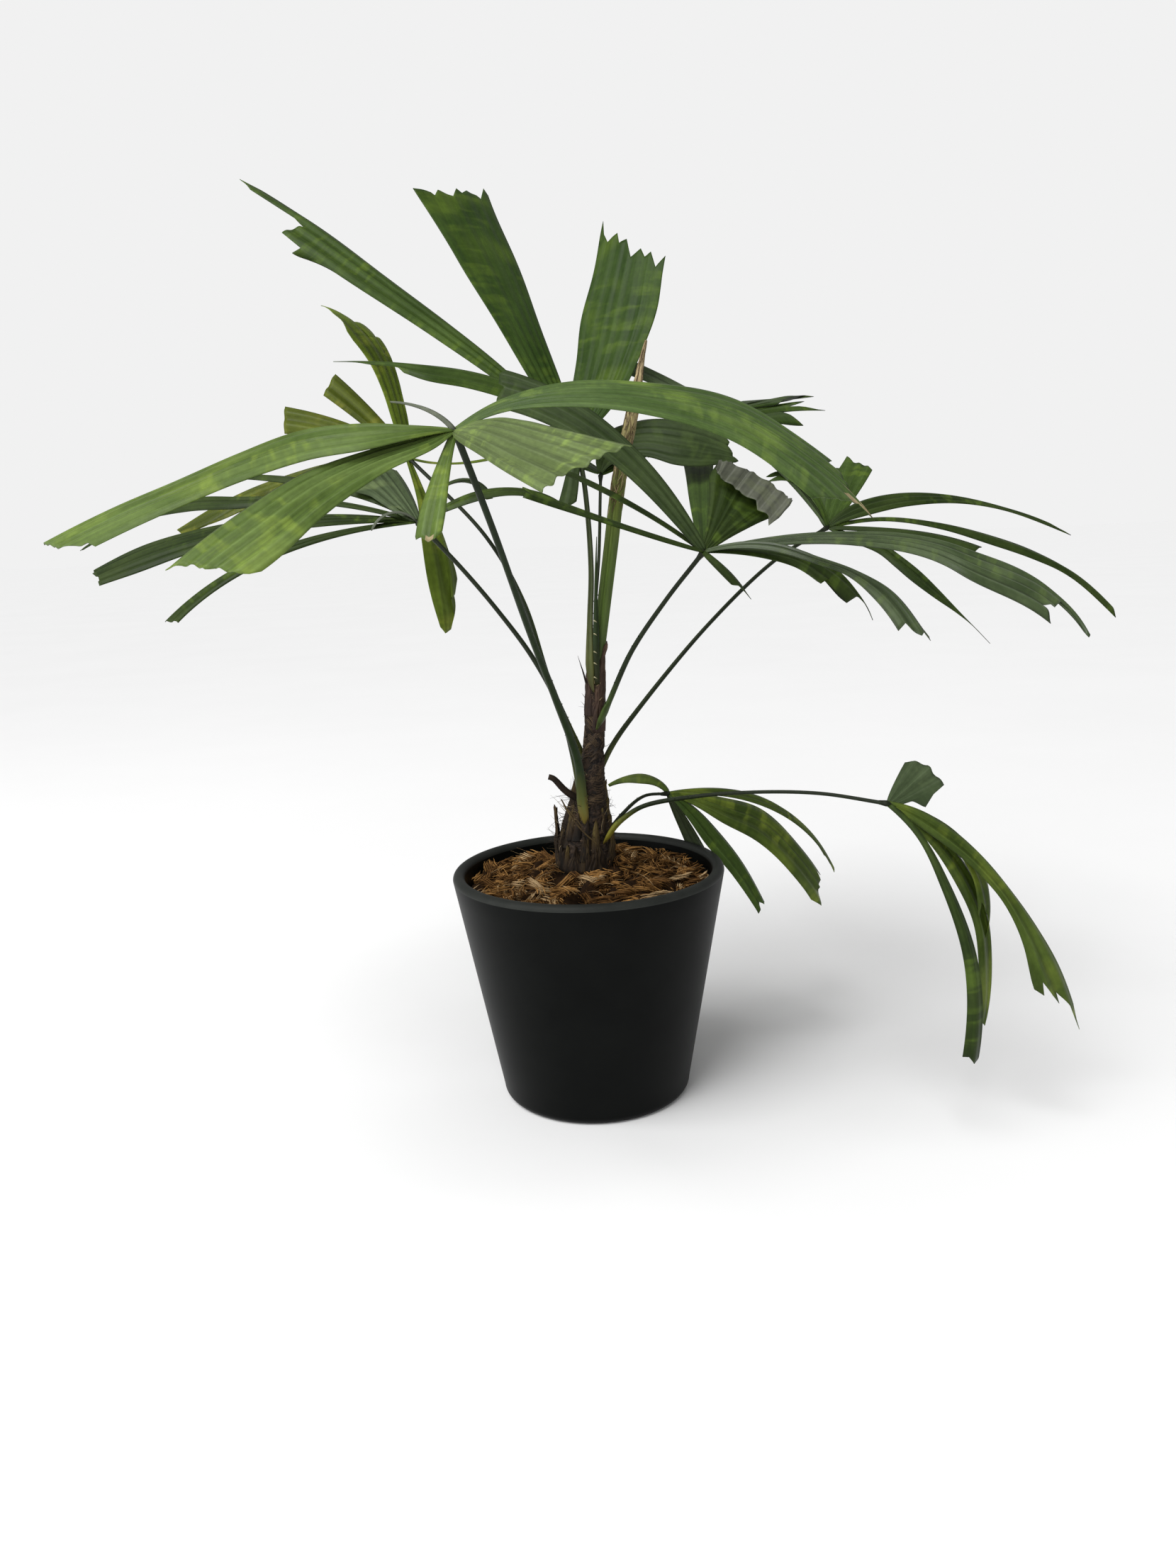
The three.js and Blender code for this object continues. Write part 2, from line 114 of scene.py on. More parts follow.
# Leaves by name: the hub where the petiole ends, the petiole's places, its radius at the foot and at the
# end, its colours from STALKS, and its clasping foot as places with their radii
LEAVES = {
    "front_left": dict(
        hub=(-48, -120, 354),
        petiole=[(0, -6, 166), (-3, -12.5, 190), (-13, -30, 227), (-23, -52, 261), (-36, -90, 312)],
        thick=2.5, thin=1.5, stalk="green",
        foot=[(-1.2, -9.5, 154, 2.4), (-1.4, -10.3, 161, 3), (-1.8, -9.3, 169, 3)],
    ),
    "top": dict(
        hub=(3, 25, 359),
        petiole=[(7, 0, 225), (6.3, 2, 262), (8.2, 10, 292), (6.6, 20, 335)],
        thick=1.8, thin=1.3, stalk="pale",
        foot=[(6.8, -5.1, 227, 0.5), (5.6, -5.5, 233, 1.7), (5.4, -5.2, 242, 2.3)],
    ),
    "back": dict(
        hub=(16, 42, 342),
        petiole=[(9, 3, 228), (9, 8, 262), (13, 22, 299), (15, 34, 328)],
        thick=0.8, thin=0.85, stalk="dark",
        foot=[],
    ),
    "right": dict(
        hub=(63, -45, 299),
        petiole=[(7, -2, 200), (15, -6, 222), (27, -13, 248), (45, -26, 275)],
        thick=2.1, thin=1.3, stalk="leafy",
        foot=[(7.5, -7.5, 207, 0.9), (10, -7.5, 212, 2.9), (12.5, -6.8, 217, 3.1)],
    ),
    "back_right": dict(
        hub=(148, 70, 308),
        petiole=[(6, 1, 178), (16, 5, 196), (31, 13, 214), (73, 35, 257), (115, 56, 291)],
        thick=1.8, thin=1.2, stalk="dark",
        foot=[],
    ),
    "back_left": dict(
        hub=(-95, 80, 358),
        petiole=[(2, 3, 186), (-9, 5, 212), (-17, 8, 233), (-29, 22, 274), (-50, 46, 311)],
        thick=1.6, thin=1.15, stalk="dark",
        foot=[],
    ),
    "left": dict(
        hub=(-84, 15, 320),
        petiole=[(-2, -4, 164), (-5, -5.5, 190), (-11.5, -6, 219), (-24.5, -3, 246), (-42.5, 2, 272),
                 (-62, 9, 296)],
        thick=2.1, thin=1.4, stalk="dark",
        foot=[],
    ),
    "low_right": dict(
        hub=(150, -65, 173),
        petiole=[(6, -7, 140), (20, -13, 159), (30, -15, 165.5), (54, -26, 172), (84, -38, 176),
                 (118, -52, 177)],
        thick=2.3, thin=1.1, stalk="yellow_foot",
        foot=[(9, -11.5, 145, 1.2), (12, -12.8, 150, 2.8), (15, -13.2, 154.5, 2.8)],
    ),
    "low_back": dict(
        hub=(48, 30, 162),
        petiole=[(8, 4, 142), (20, 12, 155), (33, 21, 163)],
        thick=1.3, thin=1, stalk="dark",
        foot=[],
    ),
}


def leaflet(heading, rise, droop, length, width, roll, tint, **more):
    """Heading, rise at the hub, droop by the end and roll are in degrees, length and width in mm."""
    more.update(heading=heading, rise=rise, droop=droop, length=length, width=width, roll=roll, tint=tint)
    return more


# The leaflets of each blade. bend is the power of the share by which one droops, flare the one by which it
# widens, and taper how much of its width it loses again. edges gives how far it reaches left and right of
# its middle line, in mm, at shares of its length. teeth is its cut end from left to right, as (place across,
# mm past its length) and, where an edge strays from the leaflet's own, the place across that it strays to.
# loose is from where it strays. depth is how deep its pleats are. fold is where its edges fold over, how
# much later its middle does, over what share, and by how many degrees. scorch is how many mm of its end are
# brown, and between which places across.
FANS = {
    "front_left_1": [
        leaflet(150, 60, 54, 35, 2.4, 20, "dry", bend=0.5),
        leaflet(
            190, 9, 38, 178, 42, 20, "fresh", bend=0.6, depth=0.16,
            edges=[(0.1, 11, 7), (0.2, 17, 17), (0.35, 15, 24), (0.5, 20, 16), (0.65, 25, 11),
                   (0.8, 24, 14), (1, 19, 18)],
            teeth=[(-1, -26), (-0.85, -24), (-0.55, -18), (-0.3, -11), (0.4, -6), (1, -2)],
        ),
        leaflet(
            212, -16, 15, 130, 38, 26, "fresh", depth=0.18,
            edges=[(0.1, 7, 4), (0.3, 9, 11), (0.5, 15, 16), (0.7, 23, 14), (1, 25, 6)],
            teeth=[(-1, -21, -1.1), (-0.97, -17), (-0.84, -14), (-0.55, -12), (-0.2, -10), (-0.08, -7),
                   (0.3, -6), (0.65, -3), (1, 2)],
        ),
        leaflet(
            254, -46, 10, 57, 14, 0, "fresh", scorch=(2, -0.5, 0.1),
            edges=[(0.2, 2, 2.8), (0.5, 3.4, 5), (0.8, 5.2, 6.8), (1, 5.6, 6.6)],
            teeth=[(-1, -4), (-0.6, 0), (-0.1, 1), (0.4, -1), (0.9, -1), (1, -2.5)],
        ),
    ],
    "front_left_2": [
        leaflet(
            300, -8, 6, 121, 44, -28, "barred", depth=0.2,
            edges=[(0.05, 9, 4), (0.12, 13, 6), (0.3, 15, 10), (0.5, 14.5, 14), (0.75, 15, 18),
                   (1, 16.5, 21.5)],
            teeth=[(-1, -7), (-0.7, -8), (-0.4, -10), (0, -9), (0.33, -13), (0.55, -14), (0.8, -12),
                   (0.92, -14), (1, -13)],
        ),
        leaflet(
            5, 29, 77, 192, 50, -32, "blotched", bend=0.9, flare=0.85, depth=0.1, scorch=(5, -0.12, 0.12),
            edges=[(0.1, 6.5, 3.5), (0.25, 9.5, 12.5), (0.45, 9, 21.5), (0.65, 16, 24.5), (0.8, 15, 28.5),
                   (1, 21, 32)],
            teeth=[(-1, -19), (-0.68, -21), (-0.55, -15), (-0.1, -7), (-0.02, 8), (0.03, -2), (0.42, -10),
                   (1, -25, 1.2)],
        ),
    ],
    "top_1": [
        leaflet(
            133, 58, 0, 165, 52, 0, "facing_light_painted_shade", depth=0.05,
            teeth=[(-1, 2, -1.15), (-0.76, 0), (-0.7, -2), (-0.55, 2), (-0.2, -1), (0.02, 6), (0.12, 3),
                   (0.3, 6), (0.68, 3), (0.9, 13), (1, 9)],
        ),
        leaflet(
            165, 41, 7, 242, 27, 35, "deep", depth=0.18, loose=0.88,
            edges=[(0.25, 2.5, 9.5), (0.4, 5, 10.5), (0.6, 9.5, 12.5), (0.8, 9, 13.5), (1, 8, 11)],
            teeth=[(-1, -67), (-0.97, -62, -1), (-0.93, -57, -1.5), (-0.88, -58, -1), (-0.8, -44, -0.95),
                   (-0.24, -46), (0.28, -48), (0.46, -40), (0.5, -33), (0.55, -10, 0.45), (0.93, 1),
                   (1, -12, 1.1)],
        ),
        leaflet(
            182, 76, 76, 134, 15, 35, "deep", bend=0.35, taper=0.3,
            edges=[(0.3, 6, 10), (0.5, 9, 8), (0.65, 11, 6), (0.8, 5, 4), (1, 5, 2.5)],
            teeth=[(-1, -34), (-0.5, -30), (-0.2, -18), (0.4, -8), (0.8, 4, 1.2), (1, -6, 1.4)],
        ),
        leaflet(240, -75, -15, 37, 11, 0, "shade"),
        leaflet(104, 18, 30, 150, 34, 0, "deep"),
    ],
    "top_2": [
        leaflet(
            62, 50, -9, 147, 54, 0, "facing_light_painted_shade", flare=0.5, taper=0.25, depth=0.05,
            edges=[(0.1, 8, 11), (0.25, 14.5, 19), (0.43, 18.5, 22.5), (0.61, 22.5, 24), (0.8, 23.5, 22.5),
                   (1, 24, 21)],
            teeth=[(-1, 16, -1.05), (-0.92, 5), (-0.75, -2), (-0.5, 3), (-0.38, -5), (-0.18, -3),
                   (0.05, -17), (0.3, -12), (0.45, -18), (0.6, -15), (0.8, -26), (1, -18)],
        ),
    ],
    "back_1": [
        leaflet(
            -5, 100, 132, 84, 34, -42, "shade", bend=0.4,
            edges=[(0.15, 19, 6), (0.35, 19, 13), (0.6, 16, 21), (0.8, 13.5, 18), (1, 8.5, 7)],
            teeth=[(-1, -10), (-0.7, -6), (-0.37, -6), (-0.2, -3), (0.26, -1), (0.46, 3), (1, 0)],
        ),
        leaflet(
            35, 25, 24, 178, 26, -30, "deep",
            teeth=[(-1, -44, -2), (-0.95, -20, -1.6), (-0.85, -39, -1.35), (-0.75, 32, -2.5),
                   (-0.65, -22, -0.9), (-0.5, -33, -0.4), (-0.35, -2, -0.9), (-0.15, -26), (0.25, 3),
                   (0.4, -37, 0.25), (0.6, -33, 0.75), (0.8, -30, 1.6), (1, -37)],
        ),
        leaflet(70, 20, 26, 150, 32, 0, "deep"),
        leaflet(112, 18, 20, 120, 30, 0, "deep"),
    ],
    "right_1": [
        leaflet(85, 27, 5, 130, 18, 0, "deep"),
        leaflet(140, 33, 12, 92, 8, 0, "dusk_painted_shade"),
        leaflet(
            165, 57, 42, 135, 22, 60, "shade", bend=1.4, depth=0.2,
            teeth=[(-1, -3), (-0.4, -2), (0, -4), (0.2, 0), (0.6, 1), (1, -1)],
        ),
        leaflet(190, 18, -4, 92, 13, 20, "dusk_painted_shade"),
    ],
    "right_2": [
        leaflet(
            50, 36, 0, 72, 46, -38, "dusk_painted_shade", depth=0.12, fold=(0.75, 0.085, 0.04, 170),
            edges=[(0.2, 6, 6), (0.45, 13, 13), (0.75, 22, 22), (1, 23, 23)],
            teeth=[(-1, -7, -0.8), (-0.6, 5), (0, 12), (0.35, 10), (0.5, 14), (0.8, 10), (0.93, 14),
                   (1, 3)],
        ),
        leaflet(
            -3, 8, 56, 204, 32, -32, "sheen", bend=1.5, flare=0.9, depth=0.24,
            edges=[(0.2, 4.5, 4.5), (0.35, 5.5, 6.5), (0.58, 9, 13), (0.63, 9, 18), (0.85, 12.5, 19),
                   (0.95, 6, 19), (1, -4, 19)],
            teeth=[(-1, -4, -0.6), (-0.6, -3, -0.4), (-0.45, -8, -0.3), (-0.35, -17, -0.4),
                   (-0.25, -24, -0.3), (0.14, -26), (0.49, -34), (1, -26)],
        ),
        leaflet(
            -12, 4, 70, 92, 18, -24, "dusk_painted_shade", bend=1.5,
            edges=[(0.35, 8, 7), (0.5, 10, 8), (0.7, 9.5, 11), (0.85, 6, 6), (1, 5, 2)],
            teeth=[(-1, 2), (-0.5, -11), (0, -12), (0.35, -13, 1.5), (0.5, -28), (0.8, -30, 1.1), (1, -34)],
        ),
        leaflet(
            -28, 15, 67, 117, 16, -30, "sheen", bend=0.9, flare=1.2, depth=0.2,
            edges=[(0.3, 3, 4), (0.5, 0, 6), (0.65, 3, 4), (0.8, 6.5, 6), (1, 3.5, 10)],
            teeth=[(-1, 5), (-0.78, 7), (-0.7, 2), (-0.4, 3), (-0.1, -1), (0.3, -6), (1, -5)],
        ),
        leaflet(
            -60, -26, 12, 38, 10, 0, "dusk_painted_shade", taper=0.6,
            teeth=[(-1, -7), (-0.35, 4), (0.2, -6), (1, -8)],
        ),
    ],
    "back_right_1": [
        leaflet(
            175, 77, 95, 52, 14, 30, "deep", bend=1.6,
            teeth=[(-1, -4), (-0.8, 2), (-0.55, -6), (0.1, 1), (0.5, -7), (1, -12)],
        ),
        leaflet(180, 57, 35.5, 154, 16, 40, "veined"),
    ],
    "back_right_2": [
        leaflet(82, 25, 20, 110, 26, 0, "deep"),
        leaflet(
            62, 35, 0, 68, 28, 0, "deep",
            teeth=[(-1, -8), (-0.6, -6), (-0.4, 6), (0, -1), (0.8, -6), (1, -8)],
        ),
        leaflet(
            12, 52, 78, 168, 22, -30, "dusk_painted_shade", bend=0.4, taper=0.5,
            edges=[(0.1, 6, 6.5), (0.3, 7.5, 8), (0.5, 4.5, 6), (0.7, 0.5, 4), (0.85, -0.5, 2.6),
                   (1, -1.4, 1.6)],
            teeth=[(-1, -18), (0, -8), (1, -2, 2)],
        ),
        leaflet(
            -3, 12, 57, 190, 11, -35, "dusk_painted_shade", bend=0.8, taper=0.5,
            edges=[(0.15, 4, 0), (0.35, 3.5, 3), (0.5, 4, 4.5), (0.65, 7, 1), (0.8, 9.5, -3.5), (1, 3, 0)],
            teeth=[(-1, -20), (0, -10), (1, -6, 2.5)],
        ),
        leaflet(-12, -3, 19, 86, 9, -30, "dusk_painted_shade", bend=1.5),
        leaflet(
            -25, -25, 21, 114, 13, -30, "dusk_painted_shade", taper=0.5,
            edges=[(0.15, 5, 2), (0.3, 9.5, -0.5), (0.4, 8.5, 2), (0.5, 7.2, 4.4), (0.65, 3.4, 5.3),
                   (0.8, -0.5, 3.6), (1, -3, 2.4)],
            teeth=[(-1, -14), (-0.75, 1), (-0.5, -15), (-0.1, -8), (0.2, -12), (0.45, -14), (0.7, -18),
                   (1, -22)],
        ),
    ],
    "back_left_1": [
        leaflet(
            150, 86, 66, 108, 25, 0, "olive", bend=1.5,
            edges=[(0.15, 7, 6.5), (0.35, 9.5, 8), (0.5, 10.5, 11.5), (0.7, 13, 15), (1, 9, 8)],
            teeth=[(-1, -37), (-0.94, -30), (-0.55, -10), (-0.2, 5, 0.05), (0.05, -8, 0.35), (0.2, -20, 0),
                   (0.45, -20, 0.8), (0.6, -31, 0.5), (0.85, -33, 0.9), (1, -50, 0.8)],
        ),
        leaflet(160, 47, 8, 62, 16, 45, "yellowed", teeth=[(-1, 0), (0, 3), (1, 7)]),
        leaflet(172, 28, 18, 76, 18, 60, "yellowed", teeth=[(-1, -1), (0, 1), (1, 3)]),
        leaflet(
            188, 15, 42, 138, 30, 30, "yellowed", bend=0.4,
            edges=[(0.3, 14, 4), (0.5, 15, 5), (0.7, 15, 6.5), (0.85, 14, 5.5), (1, 7, 1)],
            teeth=[(-1, -2), (-0.5, 0, -1.2), (0.7, 2), (1, -2)],
        ),
        leaflet(
            318, -66, 14, 104, 20, 0, "olive",
            edges=[(0.25, 5.5, 3), (0.5, 10, 8), (0.7, 10, 10), (0.85, 6, 10), (1, -2, 9)],
            teeth=[(-1, -29, -1.2), (-0.9, -20), (-0.45, -17), (-0.35, -7, -1.1), (-0.2, 0, -1.1),
                   (0.45, 2), (1, -2)],
        ),
        leaflet(10, -30, -42, 52, 5, 0, "olive", bend=0.5),
    ],
    "left_1": [
        leaflet(
            195, -3, 39, 140, 13, 25, "dusk_painted_shade", bend=1.4, flare=0.8,
            teeth=[(-1, -2), (-0.8, -2), (0, 1), (0.85, 3), (1, 2)],
        ),
        leaflet(
            185, 8, 29, 171, 26, 25, "dusk_painted_shade",
            edges=[(0.3, 8, 7), (0.7, 15, 13), (0.85, 17.5, 13), (1, 16, 6)],
            teeth=[(-1, -2), (-0.4, -2), (0.3, 2), (0.75, 2), (1, -3)],
        ),
        leaflet(
            173, 21, 48, 196, 16, 25, "dusk_painted_shade", bend=1.1,
            edges=[(0.3, 8, 0), (0.5, 14, 0), (0.65, 8, 9), (0.8, 4, 8), (0.9, 6, 5), (1, 6, -4)],
            teeth=[(-1, -2), (0, 0), (1, -4)],
        ),
        leaflet(158, 42, 37, 112, 8, 25, "dusk_painted_shade", bend=0.4),
        leaflet(132, 38, 5, 55, 40, 0, "veined", teeth=[(-1, -20, -1.4), (-0.3, -12), (0.4, -6), (1, -2)]),
        leaflet(200, 50, 120, 30, 5, 0, "dry"),
        leaflet(
            5, 26, 57, 80, 11, -20, "dusk_painted_shade", bend=1.8,
            edges=[(0.2, 3, 6), (0.4, 6, 7.5), (0.7, 4.5, 8), (1, 3, 9)],
        ),
        leaflet(20, 56, 125, 54, 9, 0, "shade", bend=2),
    ],
    "low_right_1": [
        leaflet(
            42, 18, 0, 38, 25, -40, "veined", flare=0.8,
            teeth=[(-1, -7), (-0.68, -3), (-0.17, 1), (0.4, -1), (0.86, -1), (0.93, -11, 1.05),
                   (1, -21, 1.7)],
        ),
        leaflet(
            -5, -10, 59, 154, 17, -50, "mottled", bend=0.45,
            edges=[(0.12, 4.5, 4.5), (0.35, 5.5, 4), (0.5, 5, 4), (0.65, 5.5, 8), (0.8, 6, 13.5),
                   (1, 2, 13)],
            teeth=[(-1, -9), (-0.72, 4), (-0.52, -10), (0.03, -21), (0.15, -15), (0.44, -21), (0.7, -31),
                   (0.87, -24), (1, -30, 1.25)],
        ),
        leaflet(
            -40, -34, 62, 136, 9, -30, "dusk_painted_shade", bend=0.75,
            edges=[(0.15, 2.5, 1), (0.35, 2, 3.5), (0.65, 4, 3.5), (1, 4.5, 5.5)],
            teeth=[(-1, 2), (-0.88, 3), (-0.23, 4), (0.43, 0), (1, 0)],
        ),
        leaflet(
            8, -26, 77, 140, 12, -60, "mottled", bend=0.9,
            edges=[(0.2, 2, 5.5), (0.4, 4.5, 7.5), (0.6, 5.5, 6.5), (0.8, 5, 7), (1, 6, 1.5)],
            teeth=[(-1, 4), (0, 2), (1, -3)],
        ),
        leaflet(
            5, -19, 85, 99, 10, -50, "mottled", bend=1.3,
            edges=[(0.2, 3, 3), (0.5, 5, 5), (0.75, 6, 6.5), (1, 4, 5)],
            teeth=[(-1, 6), (-0.6, -6), (-0.1, -13), (0.4, -17), (0.8, -22), (1, -14, 1.3)],
        ),
    ],
    "low_back_1": [
        leaflet(
            165, 84, 115, 40, 9, 30, "mottled", bend=0.5,
            edges=[(0.25, 3, 3), (0.5, 4.2, 4), (0.75, 2.6, 2.4), (1, 0.5, 0.5)],
            teeth=[(-1, 0), (1, 0)],
        ),
        leaflet(
            30, -2, 60, 148, 14, -30, "mottled", bend=1.3,
            teeth=[(-1, -6), (-0.2, -4), (0.3, 3), (1, -8)],
        ),
        leaflet(
            10, -11, 54, 118, 24, -40, "mottled",
            edges=[(0.1, 3.5, 4), (0.3, 9, 10), (0.5, 17, 9.5), (0.8, 17.5, 9), (1, 19, 5)],
            teeth=[(-1, -3), (-0.68, -10), (-0.5, -3), (0.1, -1), (0.6, 7), (0.9, 1), (1, -1)],
        ),
        leaflet(
            -8, -24, 39, 87, 14, -30, "deep", bend=0.4,
            edges=[(0.2, 5, 6), (0.4, 6, 10), (0.7, 6.5, 8.5), (1, 3, 6)],
        ),
        leaflet(35, -58, 4, 52, 20, 0, "deep"),
    ],
}


# Small helpers
def unit(v):
    return v / np.linalg.norm(v, axis=-1, keepdims=True)


def smooth_step(x):
    x = np.clip(x, 0, 1)
    return x * x * (3 - 2 * x)


def curve_through(points):
    """Places at shares of the length of a centripetal Catmull-Rom curve through the points."""
    p = [np.array(q, float) for q in points]
    p = [2 * p[0] - p[1]] + p + [2 * p[-1] - p[-2]]
    line = []
    for i in range(1, len(p) - 2):
        knots = [0.0]
        for a, b in zip(p[i - 1:i + 2], p[i:i + 3]):
            knots.append(knots[-1] + max(np.linalg.norm(b - a), 1e-6) ** 0.5)
        t0, t1, t2, t3 = knots
        for t in np.linspace(t1, t2, 24, endpoint=False):
            a1 = (t1 - t) / (t1 - t0) * p[i - 1] + (t - t0) / (t1 - t0) * p[i]
            a2 = (t2 - t) / (t2 - t1) * p[i] + (t - t1) / (t2 - t1) * p[i + 1]
            a3 = (t3 - t) / (t3 - t2) * p[i + 1] + (t - t2) / (t3 - t2) * p[i + 2]
            b1 = (t2 - t) / (t2 - t0) * a1 + (t - t0) / (t2 - t0) * a2
            b2 = (t3 - t) / (t3 - t1) * a2 + (t - t1) / (t3 - t1) * a3
            line.append((t2 - t) / (t2 - t1) * b1 + (t - t1) / (t2 - t1) * b2)
    line.append(p[-2])
    line = np.array(line)
    run = np.concatenate([[0], np.cumsum(np.linalg.norm(np.diff(line, axis=0), axis=1))])
    run /= run[-1]

    def at(share):
        return np.stack([np.interp(share, run, line[:, axis]) for axis in range(3)], -1)

    return at


def through(knots, places):
    """A smooth line through knots of (place, values …), read at places."""
    knots = np.array(knots, float)
    at, values = knots[:, 0], knots[:, 1:]
    slopes = np.gradient(values, at, axis=0)
    places = np.clip(places, at[0], at[-1])
    i = np.clip(np.searchsorted(at, places, side="right") - 1, 0, len(at) - 2)
    wide = (at[i + 1] - at[i])[..., None]
    t = (places - at[i])[..., None] / wide
    rise = 3 * t ** 2 - 2 * t ** 3
    return ((1 - rise) * values[i] + rise * values[i + 1]
            + wide * ((t ** 3 - 2 * t ** 2 + t) * slopes[i] + (t ** 3 - t ** 2) * slopes[i + 1]))


class Shape:
    """Points and faces that gather into one piece, with a tone from 0 to 1 at each point."""

    def __init__(self):
        self.points = []
        self.tones = []
        self.faces = []
        self.kinds = []
        self.maps = {}
        self.count = 0

    def add(self, points, faces, kind=0, tone=0.5, maps=None):
        """kind is a material number, or one for each face. maps gives UV places for each face corner."""
        points = np.asarray(points, float).reshape(-1, 3)
        self.points.append(points)
        self.tones.append(np.broadcast_to(np.asarray(tone, float), len(points)))
        self.faces += [tuple(k + self.count for k in face) for face in faces]
        self.kinds.append(np.broadcast_to(np.asarray(kind), len(faces)))
        for name, places in (maps or {}).items():
            self.maps.setdefault(name, []).append(places)
        self.count += len(points)

    def piece(self, name, materials, slot, replaces=None):
        mesh = bpy.data.meshes.new(name)
        mesh.from_pydata((np.concatenate(self.points) * MM).tolist(), [], self.faces)
        for material in materials:
            mesh.materials.append(material)
        mesh.polygons.foreach_set("material_index", np.concatenate(self.kinds).astype(np.int32))
        mesh.polygons.foreach_set("use_smooth", np.ones(len(mesh.polygons), bool))
        tone = mesh.attributes.new("tone", "FLOAT", "POINT")
        tone.data.foreach_set("value", np.concatenate(self.tones).astype(np.float32))
        for map_name, places in self.maps.items():
            layer = mesh.uv_layers.new(name=map_name)
            layer.data.foreach_set("uv", np.concatenate(places).astype(np.float32).ravel())
        mesh.update()
        piece = bpy.data.objects.new(name, mesh)
        bpy.context.scene.collection.objects.link(piece)
        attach(piece, "root")
        if replaces:
            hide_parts(replaces)
        return piece


def tube_faces(rings, sides):
    """Faces of a closed tube of rings, which turn clockwise as seen looking back along it."""
    faces = []
    for i in range(rings - 1):
        for k in range(sides):
            n = (k + 1) % sides
            faces.append((i * sides + k, i * sides + n, (i + 1) * sides + n, (i + 1) * sides + k))
    faces.append(tuple(range(sides))[::-1])
    faces.append(tuple((rings - 1) * sides + k for k in range(sides)))
    return faces


def frames_along(points, reference):
    """Side and upper directions along a line, with the upper side turned to a reference."""
    forward = unit(np.gradient(points, axis=0))
    upper = unit(reference - (forward * reference).sum(-1, keepdims=True) * forward)
    return np.cross(forward, upper), upper


def rings_round(points, side, upper, sideways, upward):
    """Rings round a line, from how far each of their points lies sideways and upward of it."""
    rings = points[:, None] + sideways[..., None] * side[:, None]
    return rings + upward[..., None] * upper[:, None]


def strand(shape, points, radii, sides=4, kind=0, tone=0.5):
    """A thin tapering fibre along points."""
    points = np.asarray(points, float)
    forward = unit(np.gradient(points, axis=0))
    away = np.array([0.31, 0.52, 0.79]) if abs(forward[0][2]) < 0.9 else np.array([0.9, 0.3, 0.1])
    side = unit(np.cross(forward, away))
    upper = np.cross(forward, side)
    angle = np.arange(sides) / sides * 2 * math.pi
    radii = np.asarray(radii, float)[:, None, None]
    circle = np.cos(angle)[None, :, None] * side[:, None] + np.sin(angle)[None, :, None] * upper[:, None]
    rings = points[:, None] + radii * circle
    shape.add(rings, tube_faces(len(points), sides), kind, tone)


# Materials
class Nodes:
    """A new node material in the making."""

    def __init__(self, name):
        self.material = bpy.data.materials.new(name)
        self.material.use_nodes = True
        self.tree = self.material.node_tree
        self.surface = self.tree.nodes["Principled BSDF"]

    def make(self, kind, **values):
        node = self.tree.nodes.new(kind)
        for key, value in values.items():
            if key in node.inputs:
                node.inputs[key].default_value = value
            else:
                setattr(node, key, value)
        return node

    def put(self, value, socket):
        """Links another node's socket, or sets a plain colour or number."""
        if isinstance(value, bpy.types.NodeSocket):
            self.tree.links.new(value, socket)
        elif isinstance(value, tuple):
            socket.default_value = (*value, 1)
        else:
            socket.default_value = value

    def ramp(self, factor, stops):
        node = self.make("ShaderNodeValToRGB")
        elements = node.color_ramp.elements
        while len(elements) < len(stops):
            elements.new(0.5)
        for element, (place, colour) in zip(elements, stops):
            element.position = place
            element.color = (*colour, 1)
        self.put(factor, node.inputs["Fac"])
        return node.outputs["Color"]

    def mix(self, factor, one, two, blend="MIX"):
        node = self.make("ShaderNodeMix", data_type="RGBA", blend_type=blend)
        for k, value in ((0, factor), (6, one), (7, two)):
            self.put(value, node.inputs[k])
        return node.outputs[2]

    def grain(self, share, colour, pattern, low, high):
        """Darkens and lightens a colour by a pattern, between two greys."""
        greys = self.ramp(pattern, [(0.3, (low,) * 3), (0.7, (high,) * 3)])
        return self.mix(share, colour, greys, "OVERLAY")

    def between(self, value, low, high, top=1.0, bottom=0.0):
        """A smooth step of a socket from bottom at low to top at high."""
        node = self.make("ShaderNodeMapRange", interpolation_type="SMOOTHSTEP")
        names = ("Value", "From Min", "From Max", "To Min", "To Max")
        for name, number in zip(names, (value, low, high, bottom, top)):
            self.put(number, node.inputs[name])
        return node.outputs["Result"]

    def maths(self, operation, one, two):
        node = self.make("ShaderNodeMath", operation=operation)
        for value, socket in zip((one, two), node.inputs):
            self.put(value, socket)
        return node.outputs["Value"]

    def axis(self, place, name):
        node = self.make("ShaderNodeSeparateXYZ")
        self.put(place, node.inputs["Vector"])
        return node.outputs[name]

    def pattern(self, place, stretch, **values):
        """Noise over places that are stretched on each axis."""
        mapping = self.make("ShaderNodeMapping", Scale=stretch)
        noise_node = self.make("ShaderNodeTexNoise", **values)
        self.put(place, mapping.inputs["Vector"])
        self.put(mapping.outputs["Vector"], noise_node.inputs["Vector"])
        return noise_node.outputs["Fac"]

    def tone(self):
        return self.make("ShaderNodeAttribute", attribute_name="tone").outputs["Fac"]

    def finish(self, colour, roughness, gloss, height, strength, distance):
        """Sets the surface, with a fine bump by height, and hands over the material."""
        self.put(colour, self.surface.inputs["Base Color"])
        self.put(roughness, self.surface.inputs["Roughness"])
        self.surface.inputs["Specular IOR Level"].default_value = gloss
        node = self.make("ShaderNodeBump", Strength=strength, Distance=distance)
        self.put(height, node.inputs["Height"])
        self.put(node.outputs["Normal"], self.surface.inputs["Normal"])
        return self.material


